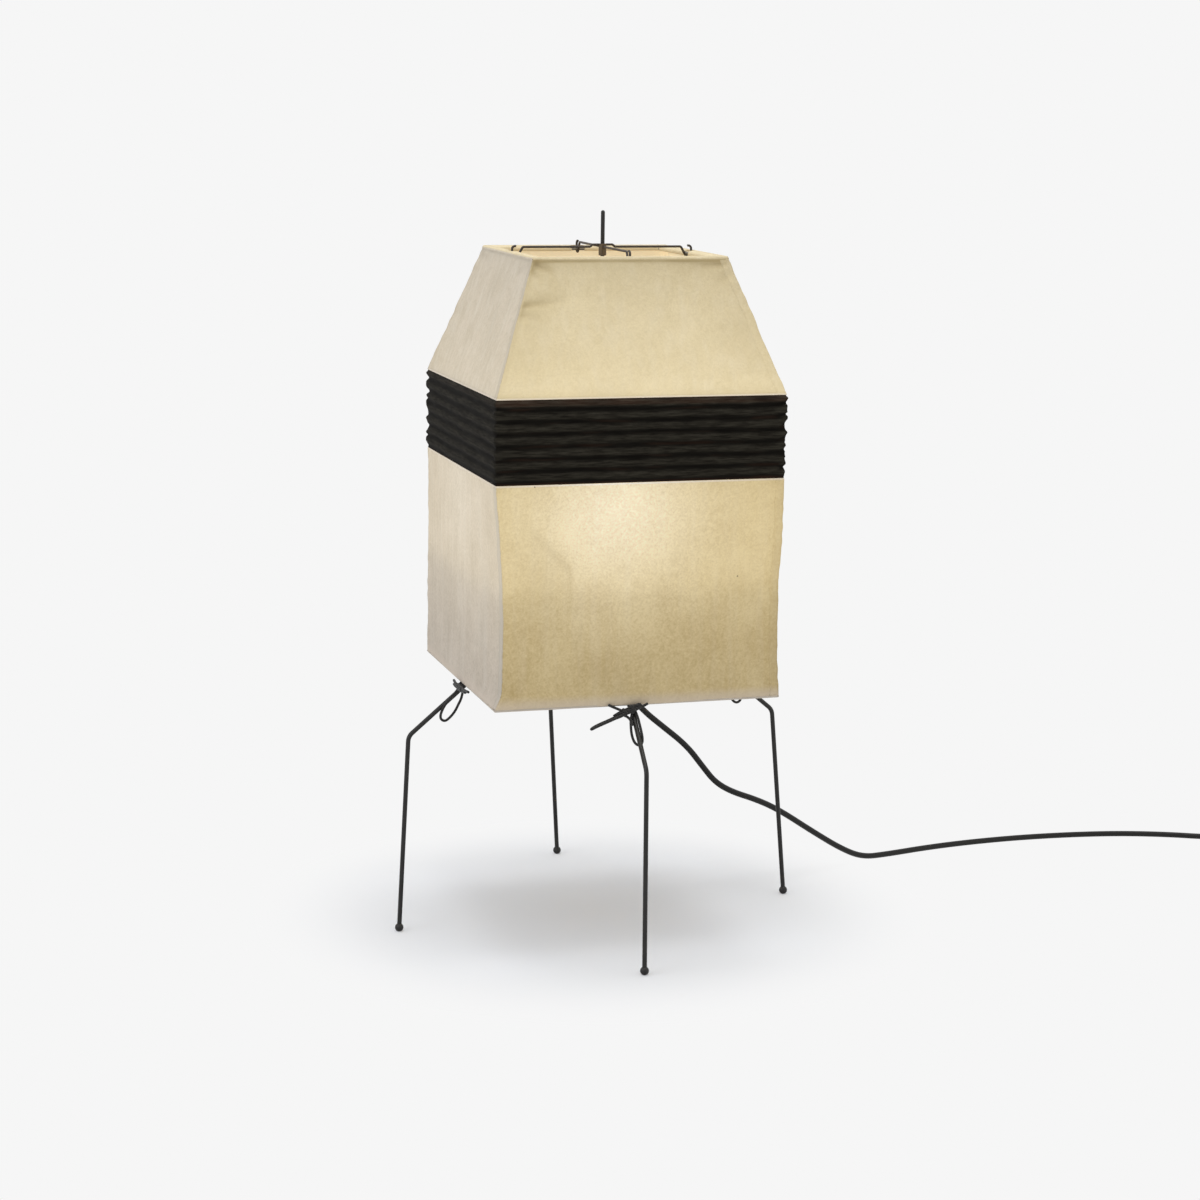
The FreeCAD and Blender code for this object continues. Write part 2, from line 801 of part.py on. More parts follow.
def switch_block(low, high):
    block = Part.makeBox(switch_length, switch_width, high - low, Vector(0, -switch_width / 2, low))
    upright = [edge for edge in block.Edges if abs(edge.tangentAt(edge.FirstParameter).z) > limp_reach_share]
    block = block.makeFillet(switch_corner_radius, upright)
    along = Vector(1, 0, 0)
    entry_radius = flex_radius + flex_fit
    for start in (-overrun, switch_length - switch_entry_depth):
        base = Vector(start, 0, switch_axis_level)
        block = block.cut(Part.makeCylinder(entry_radius, switch_entry_depth + overrun, base, along))
    room_length = switch_length - 2 * switch_entry_depth - 2 * switch_wall
    room_low = switch_wall
    room_high = switch_height - switch_wall
    corner = Vector(switch_entry_depth + switch_wall, -rocker_width / 2 - rocker_gap, room_low)
    room = Part.makeBox(room_length, rocker_width + 2 * rocker_gap, room_high - room_low, corner)
    return block.cut(room)


rocker_pivot = Vector(switch_length / 2, 0, switch_height - switch_wall - rocker_pin_diameter / 2)


def switch_cover():
    block = switch_block(switch_axis_level, switch_height)
    rim = [edge for edge in block.Edges
           if abs(edge.BoundBox.ZMin - switch_height) < seat_gap
           and edge.BoundBox.DiagonalLength > switch_corner_radius]
    block = block.makeFillet(switch_edge_radius, rim)
    window_length = rocker_length + 2 * rocker_gap
    window_width = rocker_width + 2 * rocker_gap
    corner = Vector(rocker_pivot.x - window_length / 2, -window_width / 2, switch_axis_level)
    window = Part.makeBox(window_length, window_width, switch_height, corner)
    hole_reach = rocker_width / 2 + rocker_gap + rocker_pin_reach
    hole = Part.makeCylinder(
        rocker_pin_diameter / 2 + rocker_pin_fit, 2 * hole_reach,
        Vector(rocker_pivot.x, -hole_reach, rocker_pivot.z), Vector(0, 1, 0))
    return block.cut(window).cut(hole)


def switch_rocker():
    top = switch_height + rocker_stand_out
    corner = Vector(rocker_pivot.x - rocker_length / 2, -rocker_width / 2, top - rocker_height)
    paddle = Part.makeBox(rocker_length, rocker_width, rocker_height, corner)
    pin_reach = rocker_width / 2 + rocker_gap + rocker_pin_reach - seat_gap
    pin = Part.makeCylinder(
        rocker_pin_diameter / 2, 2 * pin_reach,
        Vector(rocker_pivot.x, -pin_reach, rocker_pivot.z), Vector(0, 1, 0))
    rocker = paddle.fuse(pin)
    rocker.rotate(rocker_pivot, Vector(0, 1, 0), -rocker_tilt)
    return rocker


# Two arcs that leave one point and reach another with the given headings
def biarc(start, heading, end, end_heading):
    span = end - start
    both = heading + end_heading
    square = 2 * (1 - heading.dot(end_heading))
    along = span.dot(both)
    if square < 1e-9:
        reach = span.dot(span) / (4 * span.dot(heading))
    else:
        reach = (math.sqrt(along**2 + square * span.dot(span)) - along) / square
    first = start + heading * reach
    second = end - end_heading * reach
    joint = (first + second) * 0.5
    edges = []
    for begin, corner, finish in ((start, first, joint), (joint, second, end)):
        middle = (begin + finish) * 0.5
        half_chord = (finish - begin).Length / 2
        rise = (corner - middle).Length
        sagitta = half_chord * (reach - half_chord) / rise
        edges.append(Part.Arc(begin, middle + (corner - middle).normalize() * sagitta, finish).toShape())
    return edges


# Coil: in along the lower layer, up a layer in half a turn, out along the upper one
coil_start = switch_length + coil_lead_run
coil_low = tie_strap_thickness + tie_strap_lift + flex_radius
coil_high = coil_low + flex_diameter + coil_layer_gap
coil_inner_radius = coil_outer_radius - coil_pitch * coil_turns_in - coil_climb_step
coil_in_quarters = 4 * coil_turns_in
coil_out_start = coil_in_quarters + 2
coil_out_quarters = round(4 * coil_turns_out)
coil_last_quarter = coil_out_start + coil_out_quarters
coil_out_pitch = (coil_outer_radius - coil_inner_radius) / coil_turns_out


def coil_radius(quarter):
    if quarter <= coil_in_quarters:
        return coil_outer_radius - coil_pitch * quarter / 4
    return coil_inner_radius + coil_out_pitch * (quarter - coil_out_start) / 4


def coil_station(quarter):
    lower = quarter <= coil_in_quarters
    angle = math.pi / 2 - quarter * math.pi / 2
    outward = Vector(math.cos(angle), math.sin(angle), 0)
    onward = Vector(math.sin(angle), -math.cos(angle), 0)
    rate = 0
    if 0 < quarter < coil_last_quarter:
        rate = -coil_pitch if lower else coil_out_pitch
    heading = onward * (2 * math.pi * coil_radius(quarter)) + outward * rate
    centre = Vector(coil_start, -coil_outer_radius, coil_low if lower else coil_high)
    return centre + outward * coil_radius(quarter), heading.normalize()


def coil_edges():
    along = Vector(1, 0, 0)
    lead = Vector(switch_length - switch_entry_depth + flex_fit, 0, switch_axis_level)
    clear = Vector(switch_length + flex_diameter, 0, switch_axis_level)
    landed = Vector(clear.x + coil_drop_run, 0, coil_low)
    place, heading = coil_station(0)
    edges = [Part.LineSegment(lead, clear).toShape()]
    edges.extend(biarc(clear, along, landed, along))
    edges.append(Part.LineSegment(landed, place).toShape())
    for quarter in range(1, coil_last_quarter + 1):
        if quarter == coil_in_quarters + 1:
            continue
        next_place, next_heading = coil_station(quarter)
        edges.extend(biarc(place, heading, next_place, next_heading))
        place = next_place
        heading = next_heading
    finish = place + heading * (coil_exit_run + plug_entry_depth)
    edges.append(Part.LineSegment(place, finish).toShape())
    return edges


# The nearest that the coil's tube comes to itself, measured along its centre line
def least_gap(edges):
    points = []
    for edge in edges:
        points.extend(edge.discretize(max(int(edge.Length / flex_radius), 2))[:-1])
    skip = int(math.pi * flex_diameter / flex_radius)
    nearest = min(
        (points[i] - points[j]).Length
        for i in range(len(points))
        for j in range(i + skip, len(points))
    )
    return nearest - flex_diameter


def flex_coil():
    edges = coil_edges()
    length = sum(edge.Length for edge in edges)
    print("coil length", round(length), "least gap", round(least_gap(edges), 2))
    return swept(edges, flex_diameter)


# Strap round the coil's turns, on the side where the leads lie clear of it
def coil_tie():
    low_reach = coil_radius(coil_out_start + 1) - flex_radius - tie_strap_gap
    widest = max(coil_radius(3), coil_radius(coil_out_start + 5))
    high_reach = widest + flex_radius + tie_strap_gap
    top = coil_high + flex_radius + tie_strap_lift
    wall = tie_strap_thickness
    room_corner = Vector(coil_start - high_reach, -coil_outer_radius - tie_strap_width / 2, wall)
    length = high_reach - low_reach
    room = Part.makeBox(length, tie_strap_width, top - wall, room_corner)
    body = Part.makeBox(length + 2 * wall, tie_strap_width, top + wall, room_corner - Vector(wall, 0, wall))
    return body.cut(room)


# Plug on the end of the coil, lying on its flat side
def laid_at_plug(shape):
    copy = turned_about_axis(shape, -90)
    copy.translate(Vector(coil_start + coil_outer_radius, -coil_outer_radius - coil_exit_run, 0))
    return copy


def plug_body():
    half = plug_width / 2
    neck = plug_neck_width / 2
    taper = plug_length * plug_neck_share
    outline = [(0, -neck), (taper, -half), (plug_length, -half), (plug_length, half), (taper, half), (0, neck)]
    points = [Vector(x, y, 0) for x, y in outline]
    body = Part.Face(Part.makePolygon(points + points[:1])).extrude(Vector(0, 0, 2 * coil_high))
    upright = [edge for edge in body.Edges if edge.BoundBox.ZLength > coil_high]
    body = body.makeFillet(plug_edge_radius, upright)
    base = Vector(-overrun, 0, coil_high)
    entry = Part.makeCylinder(flex_radius + flex_fit, plug_entry_depth + overrun, base, Vector(1, 0, 0))
    return body.cut(entry)


def plug_pins():
    pins = []
    for across in (-pin_spacing / 2, pin_spacing / 2):
        base = Vector(plug_length, across, coil_high)
        pins.append(Part.makeCylinder(pin_diameter / 2, pin_length, base, Vector(1, 0, 0)))
    return Part.makeCompound(pins)


save("flex_run", flex_run())
save("switch_base", laid_in_run(switch_block(0, switch_axis_level)))
save("switch_cover", laid_in_run(switch_cover()))
save("switch_rocker", laid_in_run(switch_rocker()))
save("flex_coil", laid_in_run(flex_coil()))
save("coil_tie", laid_in_run(coil_tie()))
save("plug_body", laid_in_run(laid_at_plug(plug_body())))
save("plug_pins", laid_in_run(laid_at_plug(plug_pins())))
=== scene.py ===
import bpy
import math
from mathutils import Matrix, Vector, noise


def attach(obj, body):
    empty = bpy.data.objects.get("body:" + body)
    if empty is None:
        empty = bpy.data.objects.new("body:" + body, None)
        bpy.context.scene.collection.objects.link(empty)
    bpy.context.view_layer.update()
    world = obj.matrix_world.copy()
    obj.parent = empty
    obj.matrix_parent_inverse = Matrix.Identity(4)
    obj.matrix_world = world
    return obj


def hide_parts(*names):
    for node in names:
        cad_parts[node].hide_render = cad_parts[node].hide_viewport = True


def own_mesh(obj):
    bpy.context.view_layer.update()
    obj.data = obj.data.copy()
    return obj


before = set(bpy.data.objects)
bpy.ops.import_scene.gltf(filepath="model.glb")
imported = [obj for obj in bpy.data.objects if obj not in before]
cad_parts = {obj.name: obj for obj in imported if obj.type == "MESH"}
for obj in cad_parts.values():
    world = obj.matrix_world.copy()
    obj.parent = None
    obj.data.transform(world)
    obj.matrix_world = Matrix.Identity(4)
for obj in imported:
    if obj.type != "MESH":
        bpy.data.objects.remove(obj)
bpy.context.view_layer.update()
scene = bpy.context.scene
scene.view_settings.view_transform = "Standard"
mm = 0.001
print("frame loaded,", len(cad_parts), "nodes")

# camera, fitted to the shade's edges, the knees and the feet
cameraView = {"lens": 79.0, "place": (-0.650, -2.179, 0.719), "yaw": 16.66, "pitch": 10.84, "roll": 0.78}


def makeCamera(view):
    yaw, pitch, roll = (math.radians(view[key]) for key in ("yaw", "pitch", "roll"))
    ahead = Vector((math.sin(yaw) * math.cos(pitch), math.cos(yaw) * math.cos(pitch), -math.sin(pitch)))
    level = Vector((math.cos(yaw), -math.sin(yaw), 0))
    upright = level.cross(ahead)
    side = level * math.cos(roll) + upright * math.sin(roll)
    top = upright * math.cos(roll) - level * math.sin(roll)
    data = bpy.data.cameras.new("camera")
    data.lens = view["lens"]
    data.sensor_width = 36.0
    camera = bpy.data.objects.new("camera", data)
    turn = Matrix((side, top, -ahead)).transposed().to_4x4()
    camera.matrix_world = Matrix.Translation(view["place"]) @ turn
    scene.collection.objects.link(camera)
    scene.camera = camera


makeCamera(cameraView)
print("camera set")


# a setting is an input by name or number, or else a property; a linked node gives its first output in use
def setNode(tree, node, settings=(), links=()):
    for key, value in dict(settings).items():
        if isinstance(key, int) or key in node.inputs:
            node.inputs[key].default_value = value
        else:
            setattr(node, key, value)
    for key, source in dict(links).items():
        if isinstance(source, bpy.types.Node):
            source = next(output for output in source.outputs if output.enabled)
        tree.links.new(source, node.inputs[key])
    return node


def addNode(tree, kind, settings=(), links=()):
    return setNode(tree, tree.nodes.new("ShaderNode" + kind), settings, links)


def linear(hexColour):
    shares = [int(hexColour[i:i + 2], 16) / 255 for i in (1, 3, 5)]
    return tuple(s / 12.92 if s <= 0.04045 else ((s + 0.055) / 1.055) ** 2.4 for s in shares) + (1.0,)


def newMaterial(name):
    material = bpy.data.materials.new(name)
    material.use_nodes = True
    tree = material.node_tree
    return material, tree, tree.nodes["Principled BSDF"], addNode(tree, "TexCoord").outputs["Object"]


# a noise texture has about one blob per unit of scale and metre, so a size in mm gives the scale
def perMetre(millimetres):
    return 1000.0 / millimetres


# a finish: one texture, size in mm, shifts the tone and, where asked, the gloss and the surface's height
def makeFinish(name, look):
    material, tree, shader, place = newMaterial(name)
    kind, output, settings = look.get("texture", ("TexNoise", "Fac", {"Detail": 5.0, "Roughness": 0.6}))
    texture = addNode(tree, kind, {"Scale": perMetre(look["size"]), **settings}, {"Vector": place})
    uneven = texture.outputs[output]
    low, high = look.get("span", (0.3, 0.72))
    spread = addNode(tree, "MapRange", {"From Min": low, "From Max": high}, {"Value": uneven})
    tone = addNode(tree, "Mix", {"data_type": "RGBA", 6: linear(look["dark"]), 7: linear(look["pale"])},
                   {0: spread})
    setNode(tree, shader, look.get("shader", {}), {"Base Color": tone})
    if "rough" in look:
        dull, matt = look["rough"]
        gloss = addNode(tree, "MapRange", {"To Min": dull, "To Max": matt}, {"Value": spread})
        setNode(tree, shader, {}, {"Roughness": gloss})
    if "bump" in look:
        height = {"Strength": look["bump"], "Distance": look.get("deep", 0.0002)}
        setNode(tree, shader, {}, {"Normal": addNode(tree, "Bump", height, {"Height": uneven})})
    return material


# mains flex: the route from the outlet to the switch, then on through the switch into the coil
flex = {
    "diameter": 5.5,
    "route": [
        (23.12, 6.63, 203.95), (48.06, 13.78, 178.0), (67.3, 19.3, 162.0), (94.2, 27.0, 140.0),
        (112.5, 32.3, 117.0), (125.9, 36.1, 101.0), (144.2, 41.3, 89.5), (172.1, 49.3, 78.0),
        (197.1, 56.5, 64.5), (234.5, 67.2, 38.7), (269.2, 77.2, 16.0), (294.1, 84.3, 4.2),
        (322.0, 92.3, 2.75), (370.0, 104.5, 2.75), (420.0, 112.0, 2.75), (475.0, 115.0, 2.75),
        (530.0, 112.0, 2.75), (580.0, 104.0, 2.75), (625.0, 88.5, 2.75), (658.0, 71.0, 2.75),
        (686.0, 54.8, 7.0), (714.0, 38.6, 7.0),
    ],
    "runStart": (703.694, 44.55),
    "runAzimuth": -30.0,
    "switchOut": [(63.5, 0.0, 7.0), (76.0, 0.0, 5.2), (89.0, 0.0, 3.75), (101.0, 0.0, 3.75)],
    "coilCentre": (110.0, -40.0),
    "outerRadius": 40.0,
    "pitchIn": 8.0,
    "innerRadius": 20.5,
    "levels": (3.75, 9.85),
    "quarters": (8, 10, 17),
    "plugEnd": [(150.0, -52.0, 9.85), (150.0, -64.0, 9.85), (150.0, -76.0, 9.85), (150.0, -86.0, 9.85)],
    "length": 1.70,
    # PVC sheath: extruded, so nearly smooth, with a dull gloss and faint lengthways drag
    "finish": {"dark": "#0d0c0b", "pale": "#191815", "size": 9.0,
               "texture": ("TexNoise", "Fac", {"Detail": 3.0}), "span": (0.0, 1.0), "rough": (0.36, 0.52),
               "shader": {"IOR": 1.53, "Specular IOR Level": 0.25}},
}


# one turn is four quarters; the turns go in along the floor, climb, and come out on top
def coilPoints(sizes):
    inEnd, outStart, outEnd = sizes["quarters"]
    low, high = sizes["levels"]
    outPitch = (sizes["outerRadius"] - sizes["innerRadius"]) / (outEnd - outStart)
    points = []
    for step in range(3 * outEnd + 1):
        quarter = step / 3
        lowEnd = sizes["outerRadius"] - sizes["pitchIn"] * inEnd / 4
        if quarter <= inEnd:
            radius, level = sizes["outerRadius"] - sizes["pitchIn"] * quarter / 4, low
        elif quarter < outStart:
            share = (quarter - inEnd) / (outStart - inEnd)
            share = share * share * (3 - 2 * share)
            radius, level = lowEnd + (sizes["innerRadius"] - lowEnd) * share, low + (high - low) * share
        else:
            radius, level = sizes["innerRadius"] + outPitch * (quarter - outStart), high
        angle = math.pi / 2 - quarter * math.pi / 2
        points.append((sizes["coilCentre"][0] + radius * math.cos(angle),
                       sizes["coilCentre"][1] + radius * math.sin(angle), level))
    return points


def runToLamp(sizes, point):
    turn = math.radians(sizes["runAzimuth"])
    x, y, z = point
    return (sizes["runStart"][0] + x * math.cos(turn) - y * math.sin(turn),
            sizes["runStart"][1] + x * math.sin(turn) + y * math.cos(turn), z)


# a round cord on one or more NURBS lines, points in mm
def cordCurve(name, lines, diameter, material, body):
    curve = bpy.data.curves.new(name, "CURVE")
    curve.dimensions = "3D"
    curve.bevel_depth = diameter * mm / 2
    curve.bevel_resolution = 4
    curve.use_fill_caps = True
    curve.resolution_u = 8
    for points in lines:
        spline = curve.splines.new("NURBS")
        spline.points.add(len(points) - 1)
        for target, point in zip(spline.points, points):
            target.co = (point[0] * mm, point[1] * mm, point[2] * mm, 1.0)
        spline.order_u = 3
        spline.use_endpoint_u = True
    curve.materials.append(material)
    cord = bpy.data.objects.new(name, curve)
    scene.collection.objects.link(cord)
    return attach(cord, body)


onRun = [runToLamp(flex, point) for point in flex["switchOut"] + coilPoints(flex) + flex["plugEnd"]]
sheath = makeFinish("pvcExtruded", flex["finish"])
flexCord = cordCurve("flexCord", [flex["route"] + onRun], flex["diameter"], sheath, "stand")
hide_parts("flex_run", "flex_coil")
print("flex laid")

# washi: hand-made mulberry paper. Short fibres cloud it, and it glows with the bulb's light from behind
washi = {
    "bulb": (-0.022, 0.0, 0.382),
    "reach": 0.125,
    "spread": 9.0,
    "whole": {"hot": "#ecf2f4", "haze": "#ffebb8"},
    # each side and each half takes its own tones of the one paper: painted light, warm and yellow where the
    # bulb shines through, cooler and greyer on the left, less yellow on the upper half
    "upper": {
        "front": {"paper": "#d7c8a6", "shade": "#c7b793", "seam": "#b3a077", "hot": 0.0, "haze": 0.32,
                  "streak": 0.10},
        "right": {"paper": "#d7c8a6", "shade": "#c7b793", "seam": "#b3a077", "hot": 0.0, "haze": 0.30,
                  "streak": 0.10},
        "back": {"paper": "#d6cab0", "shade": "#c3b698", "seam": "#b3a27e", "hot": 0.0, "haze": 0.26,
                 "streak": 0.10},
        "left": {"paper": "#d5c9b7", "shade": "#c3b7a3", "seam": "#c3b9a8", "hot": 0.0, "haze": 0.13,
                 "streak": 0.20},
    },
    "lower": {
        "front": {"paper": "#dac595", "shade": "#c4ac7a", "seam": "#ac9460", "hot": 0.31, "haze": 0.21,
                  "streak": 0.06},
        "right": {"paper": "#dac69a", "shade": "#c4ae80", "seam": "#ac986b", "hot": 0.42, "haze": 0.20,
                  "streak": 0.06},
        "back": {"paper": "#d9cba9", "shade": "#c5b593", "seam": "#ae9e78", "hot": 0.24, "haze": 0.18,
                 "streak": 0.06},
        "left": {"paper": "#d3c7b7", "shade": "#bfb3a2", "seam": "#c2bbae", "hot": 0.013, "haze": 0.185,
                 "streak": 0.15},
    },
    "levels": {"low": (0.225, 0.350), "hub": (0.300, 0.326), "high": (0.470, 0.610)},
    "cloud": 34.0,
    "fleck": 1.7,
    "fibre": 3.4,
    "bark": 62.0,
    "laid": "#eae5db", "foldHighlight": "#f0e4d8", "hem": "#d6c8b8", "speck": "#5d4a2c",
}


def washiSheet(name, look, part):
    material, tree, shader, place = newMaterial(name)
    cloud = addNode(tree, "TexNoise", {"Scale": perMetre(washi["cloud"]), "Detail": 5.0, "Roughness": 0.6},
                    {"Vector": place})
    fleck = addNode(tree, "TexNoise", {"Scale": perMetre(washi["fleck"]), "Detail": 3.0, "Roughness": 0.6},
                    {"Vector": place})
    # fibres: noise swirled by the cloud, so that they lie every way, as they settle in the mould
    swirl = addNode(tree, "VectorMath", {"operation": "MULTIPLY_ADD", 1: (0.03, 0.03, 0.03)},
                    {0: cloud.outputs["Color"], 2: place})
    fibre = addNode(tree, "TexNoise", {"Scale": perMetre(washi["fibre"]), "Detail": 2.0}, {"Vector": swirl})
    clouds = addNode(tree, "Math", {"operation": "MULTIPLY_ADD", 1: 0.8}, {0: fibre, 2: cloud})
    specks = addNode(tree, "Math", {"operation": "MULTIPLY_ADD", 1: 0.9}, {0: fleck, 2: clouds})
    mixed = addNode(tree, "MapRange", {"From Min": 1.05, "From Max": 1.65}, {"Value": specks})
    tone = addNode(tree, "Mix", {"data_type": "RGBA", 6: linear(look["shade"]), 7: linear(look["paper"])},
                   {0: mixed})
    # laid lines: faint upright streaks from the mould, palest on the sides that no bulb light hides
    upright = addNode(tree, "Mapping", {"Scale": (1.0, 1.0, 0.07)}, {"Vector": place})
    laid = addNode(tree, "TexNoise", {"Scale": perMetre(7.0), "Detail": 4.0}, {"Vector": upright})
    lines = addNode(tree, "MapRange", {"From Min": 0.46, "From Max": 0.70, "To Max": look["streak"]},
                    {"Value": laid})
    # doubled paper along the seams: duller and browner; the same tone is painted shade along the creases, in
    # the hem roll's groove and in a few soft patches
    seam = addNode(tree, "Attribute", {"attribute_name": "seamAndShadeShare"}).outputs["Fac"]
    # a painted highlight: a pale line along the fold at the edge beside the band
    level = addNode(tree, "SeparateXYZ", {}, {"Vector": place}).outputs["Z"]
    (highlightFrom, highlightTo), (hemFrom, hemTo, hemShare) = part["foldHighlightLevels"], part["hemZone"]
    foldHighlightShare = addNode(tree, "MapRange", {"From Min": highlightFrom, "From Max": highlightTo, "To Max": 0.85},
                      {"Value": level})
    # the hem turned up inside makes the lowest strip thicker, so paler and pinker
    turnUp = addNode(tree, "MapRange", {"From Min": hemFrom, "From Max": hemTo, "To Max": hemShare,
                                        "interpolation_type": "SMOOTHSTEP"}, {"Value": level})
    # bark: a stray dark speck every hand's width or so, as hand-made sheets have
    bark = addNode(tree, "TexVoronoi", {"Scale": perMetre(washi["bark"]), "Randomness": 1.0},
                   {"Vector": place})
    dot = addNode(tree, "MapRange", {"From Min": 0.014, "From Max": 0.009}, {"Value": bark})
    layers = ((lines, washi["laid"]), (seam, look["seam"]), (foldHighlightShare, washi["foldHighlight"]),
              (turnUp, washi["hem"]), (dot, washi["speck"]))
    for share, colour in layers:
        tone = addNode(tree, "Mix", {"data_type": "RGBA", 7: linear(colour)}, {0: share, 6: tone})
    # hot: a painted glow of bulb light, brightest where the sheet is nearest to the bulb
    away = addNode(tree, "VectorMath", {"operation": "DISTANCE", 1: washi["bulb"]}, {0: place})
    near = addNode(tree, "Math", {"operation": "DIVIDE", 0: washi["reach"]}, {1: away})
    fall = addNode(tree, "Math", {"operation": "POWER", 1: washi["spread"]}, {0: near})
    veil = addNode(tree, "MapRange", {"From Min": 0.3, "From Max": 0.7, "To Min": 0.74 * look["hot"],
                                      "To Max": 1.22 * look["hot"]}, {"Value": fleck})
    patch = addNode(tree, "Math", {"operation": "MULTIPLY"}, {0: fall, 1: veil})
    # haze: amber light over the whole sheet, less in the hub plate's soft shadow and less up high
    (low, rise), (under, over), (high, top) = (washi["levels"][key] for key in ("low", "hub", "high"))
    wide = addNode(tree, "MapRange", {"interpolation_type": "SMOOTHSTEP", "From Min": low, "From Max": rise,
                                      "To Max": 0.68 * look["haze"]}, {"Value": level})
    plate = addNode(tree, "MapRange", {"interpolation_type": "SMOOTHSTEP", "From Min": under,
                                       "From Max": over, "To Max": 0.32 * look["haze"]}, {"Value": level})
    risen = addNode(tree, "Math", {"operation": "ADD"}, {0: wide, 1: plate})
    thin = addNode(tree, "MapRange", {"From Min": high, "From Max": top, "To Min": 1.0, "To Max": 0.3},
                   {"Value": level})
    haze = addNode(tree, "Math", {"operation": "MULTIPLY"}, {0: risen, 1: thin})
    hotLight = addNode(tree, "VectorMath", {"operation": "SCALE", 0: linear(washi["whole"]["hot"])[:3]},
                       {"Scale": patch})
    hazeLight = addNode(tree, "VectorMath", {"operation": "SCALE", 0: linear(washi["whole"]["haze"])[:3]},
                        {"Scale": haze})
    light = addNode(tree, "VectorMath", {"operation": "ADD"}, {0: hotLight, 1: hazeLight})
    # the glow dims where the paper is doubled and where shade is painted in the creases, patches and groove
    glowDimmed = addNode(tree, "MapRange", {"To Min": 1.0, "To Max": 0.55}, {"Value": seam})
    rough = addNode(tree, "Bump", {"Strength": 0.4, "Distance": 0.0006}, {"Height": specks})
    setNode(tree, shader, {"Roughness": 0.86, "IOR": 1.46, "Specular IOR Level": 0.25},
            {"Base Color": tone, "Emission Color": light, "Emission Strength": glowDimmed, "Normal": rough})
    return material


# the inner face of the same sheet, which the bulb lights directly
def washiInside(name, glow):
    material, tree, shader, place = newMaterial(name)
    cloud = addNode(tree, "TexNoise", {"Scale": perMetre(washi["cloud"]), "Detail": 6.0, "Roughness": 0.65},
                    {"Vector": place})
    tone = addNode(tree, "Mix", {"data_type": "RGBA", 6: linear("#d9c9a4"), 7: linear("#e4d8ba")},
                   {0: cloud})
    warmth = addNode(tree, "MapRange", {"From Min": 0.3, "From Max": 0.7, "To Min": 0.94 * glow,
                                        "To Max": 1.06 * glow}, {"Value": cloud})
    setNode(tree, shader,
            {"Emission Color": linear("#ffefcf"), "Roughness": 0.88, "Specular IOR Level": 0.2},
            {"Base Color": tone, "Emission Strength": warmth})
    return material


def meshPiece(name, points, faces, material, body, smooth=True):
    mesh = bpy.data.meshes.new(name)
    mesh.from_pydata(points, [], faces)
    mesh.validate()
    mesh.materials.append(material)
    for face in mesh.polygons:
        face.use_smooth = smooth
    piece = bpy.data.objects.new(name, mesh)
    scene.collection.objects.link(piece)
    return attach(piece, body)


# a thin sheet with two faces, from two grids of points; a ring's last column meets its first
def shellFaces(rows, columns, ring=False):
    faces = []
    top = rows - 1

    def at(row, column, side):
        return side * rows * columns + row * columns + column % columns

    span = range(columns if ring else columns - 1)
    for r in range(top):
        for c in span:
            faces.append((at(r, c, 0), at(r, c + 1, 0), at(r + 1, c + 1, 0), at(r + 1, c, 0)))
            faces.append((at(r, c, 1), at(r + 1, c, 1), at(r + 1, c + 1, 1), at(r, c + 1, 1)))
    for c in span:
        faces.append((at(0, c, 0), at(0, c, 1), at(0, c + 1, 1), at(0, c + 1, 0)))
        faces.append((at(top, c, 0), at(top, c + 1, 0), at(top, c + 1, 1), at(top, c, 1)))
    end = columns - 1
    for r in range(0 if ring else top):
        faces.append((at(r, 0, 0), at(r + 1, 0, 0), at(r + 1, 0, 1), at(r, 0, 1)))
        faces.append((at(r, end, 0), at(r, end, 1), at(r + 1, end, 1), at(r + 1, end, 0)))
    return faces


def smoothStep(low, high, value):
    share = min(max((value - low) / (high - low), 0.0), 1.0)
    return share * share * (3 - 2 * share)


# depth of the soft creases at a point of a panel, each one a line with a width, in the panel's own shares;
# a crease starts deep and tapers to nothing along its line
def creased(creases, across, up):
    depth = 0.0
    for (x0, y0), (x1, y1), deep, wide in creases:
        span = (x1 - x0) ** 2 + (y1 - y0) ** 2
        along = min(max(((across - x0) * (x1 - x0) + (up - y0) * (y1 - y0)) / span, 0.0), 1.0)
        away = math.hypot(across - x0 - along * (x1 - x0), up - y0 - along * (y1 - y0))
        depth += deep * smoothStep(0.0, 0.06, along) * (1 - along) ** 0.8 * math.exp(-(away / wide) ** 2)
    return depth


sideTurns = {"front": 0, "right": 1, "back": 2, "left": 3}
sideCorners = {
    "front": ("frontLeft", "frontRight"),
    "right": ("frontRight", "backRight"),
    "back": ("backRight", "backLeft"),
    "left": ("backLeft", "frontLeft"),
}


def turned(point, side):
    x, y, z = point
    for _ in range(sideTurns[side]):
        x, y = -y, x
    return (x * mm, y * mm, z * mm)


